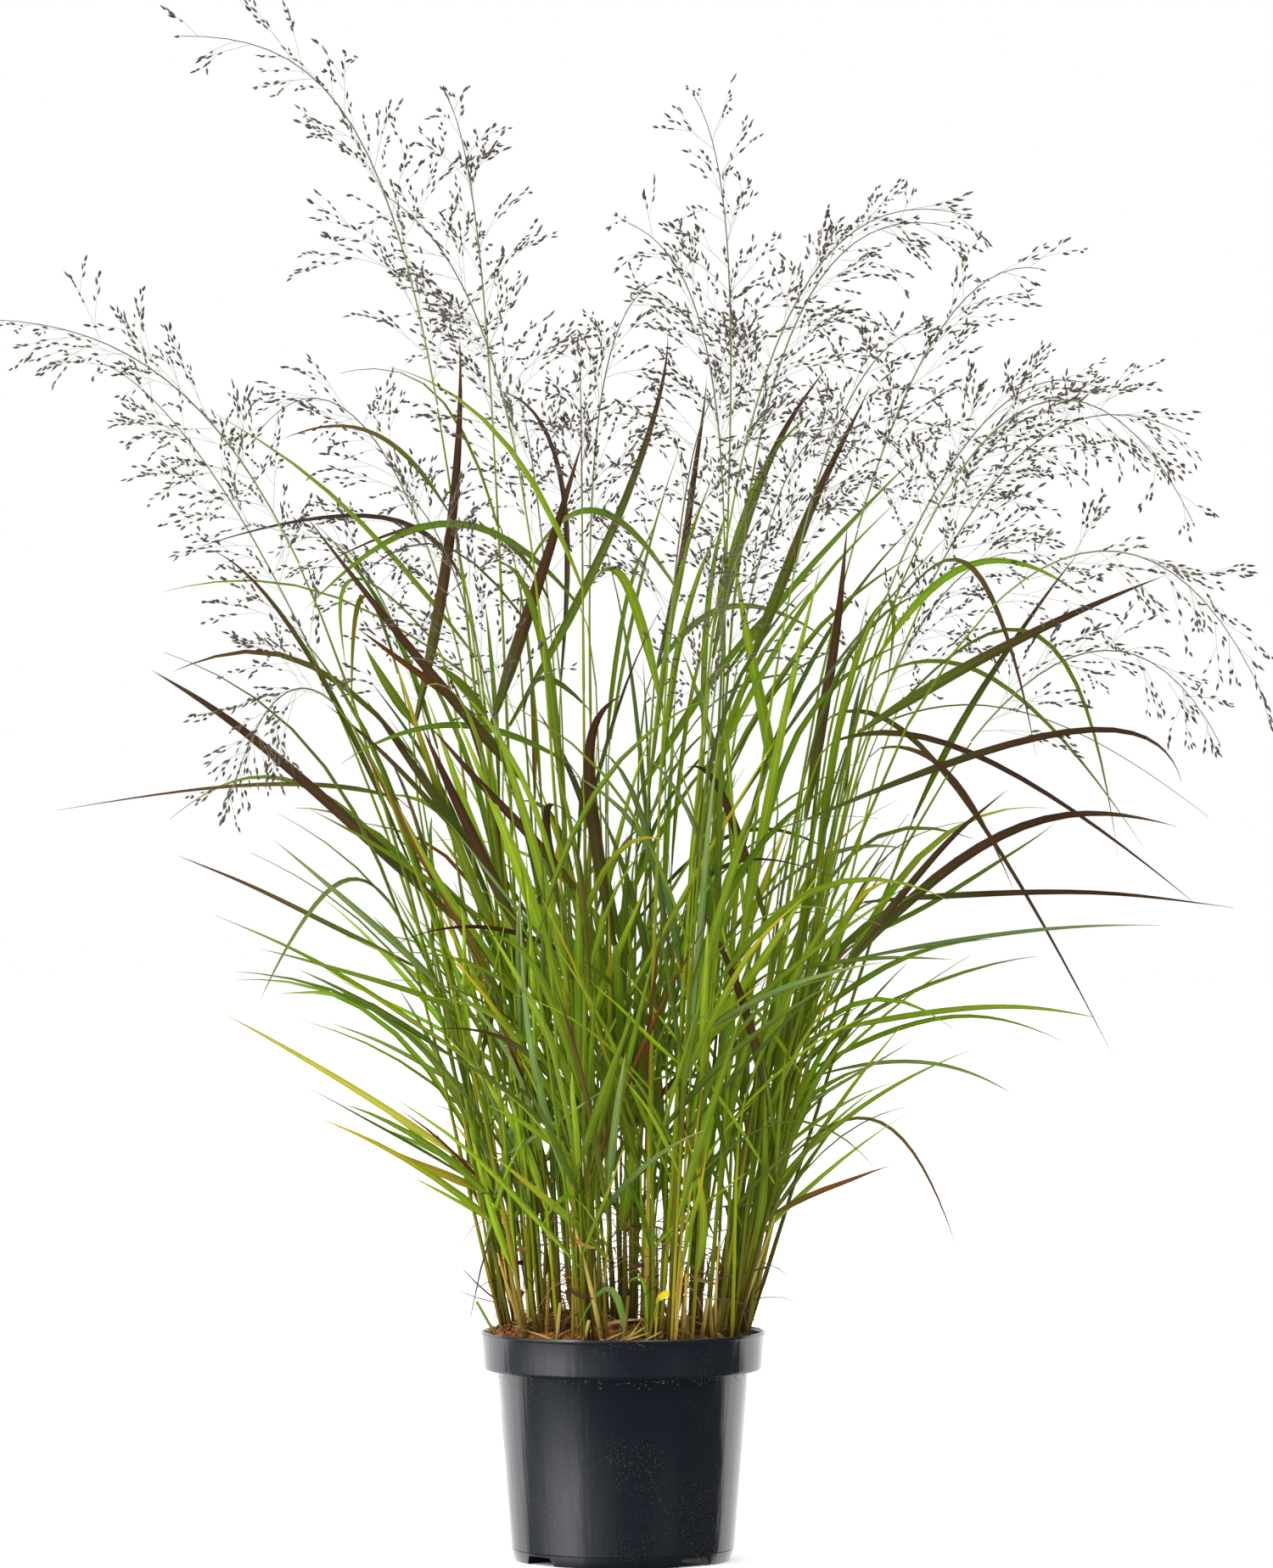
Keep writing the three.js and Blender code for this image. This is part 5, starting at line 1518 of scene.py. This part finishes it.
# Studio
# A white sweep of seamless paper under an overcast of soft boxes. The room in front of the pot is
# dark, with a tall soft strip to the left, and the sweep behind it white, so the glossy wall is
# dark, with one soft streak and a bright edge down each side. The paper isn't mirrored in the wall.
bpy.ops.object.select_all(action="DESELECT")
bpy.ops.mesh.primitive_circle_add(vertices=96, radius=14, fill_type="NGON", location=(0, 0, 0))
floor = bpy.context.object
floor.name = "studio_floor"
paper, tree, shader = finish_named("matt white paper")
place = node(tree, "TexCoord").outputs["Object"]
fleck = node(tree, "TexNoise", {"Scale": 30, "Detail": 2}, {"Vector": place})
tones = node(tree, "Mix", {"data_type": "RGBA", 6: colour("#f6f6f6"), 7: colour("#fafafa")}, {0: fleck})
fed(tree, shader, {"Roughness": 0.95}, {"Base Color": tones.outputs[2]})
worn(floor, paper)
floor.visible_glossy = False

# Brightness of the room all round, by the bearing in degrees from the middle of the sweep
ROOM_PEAK = 4
ROOM = (
    (-180, 0.12), (-157, 0.7), (-140, 1.3), (-130, 3.7), (-112, 3.2), (-85, 0.8), (-67, 0.4),
    (-61, 2.2), (-40, 1.9), (0, 1.5), (40, 1.9), (58, 2.2), (64, 0.1), (120, 0.12), (133, 0.3),
    (155, 0.1), (180, 0.12),
)
bpy.context.scene.view_settings.view_transform = "Standard"
sky = bpy.data.worlds.new("white_studio")
bpy.context.scene.world = sky
sky.use_nodes = True
tree = sky.node_tree
tree.nodes.clear()
direction = node(tree, "TexCoord").outputs["Generated"]
parts = node(tree, "SeparateXYZ", {}, {"Vector": direction}).outputs
bearing = node(tree, "Math", {"operation": "ARCTAN2"}, {0: parts["X"], 1: parts["Y"]})
bearing = node(tree, "MapRange", {"From Min": -math.pi, "From Max": math.pi}, {"Value": bearing})
walls = node(tree, "ValToRGB", {}, {"Fac": bearing})
for stop, (degrees, brightness) in enumerate(ROOM):
    if stop > 1:
        walls.color_ramp.elements.new(1)
    walls.color_ramp.elements[stop].position = 0.5 + degrees / 360
    walls.color_ramp.elements[stop].color = (*[brightness / ROOM_PEAK] * 3, 1)
walls = node(tree, "Math", {"operation": "MULTIPLY", 1: ROOM_PEAK}, {0: walls})
under = node(tree, "MapRange", {"From Min": -0.7, "From Max": -0.4, "To Min": 0.06},
             {"Value": parts["Z"]})
walls = node(tree, "Math", {"operation": "MULTIPLY"}, {0: walls, 1: under})
boxes = node(tree, "MapRange", {"From Min": 0.3, "From Max": 0.55, "To Min": 0.0, "To Max": 1.05},
             {"Value": parts["Z"]})
glow = node(tree, "Math", {"operation": "MAXIMUM"}, {0: walls, 1: boxes})
ray = node(tree, "LightPath").outputs["Is Camera Ray"]
lit = node(tree, "Background", {"Color": colour("#ffffff")}, {"Strength": glow})
seen = node(tree, "Background", {"Color": colour("#ffffff"), "Strength": 1.0})
both = node(tree, "MixShader", {}, {0: ray, 1: lit, 2: seen})
node(tree, "OutputWorld", {}, {"Surface": both})


def softbox(name, place, target, width, height, power):
    """A rectangular studio light at a place, turned to a target. Sizes are in metres."""
    way = Vector(target) - Vector(place)
    turn = way.to_track_quat("-Z", "Y").to_euler()
    bpy.ops.object.light_add(type="AREA", location=place, rotation=turn)
    lamp = bpy.context.object
    lamp.name = name
    lamp.data.shape = "RECTANGLE"
    lamp.data.size = width
    lamp.data.size_y = height
    lamp.data.energy = power
    lamp.visible_camera = False


# A tall box at the left for the sheen of the leaves, and a high one at the right for the top
softbox("key_light", (-2.0, -1.9, 1.3), (0, 0, 0.4), 0.8, 2.4, 62)
softbox("high_light", (1.2, -2.2, 3.2), (0, 0, 0.5), 1.6, 1.2, 70)
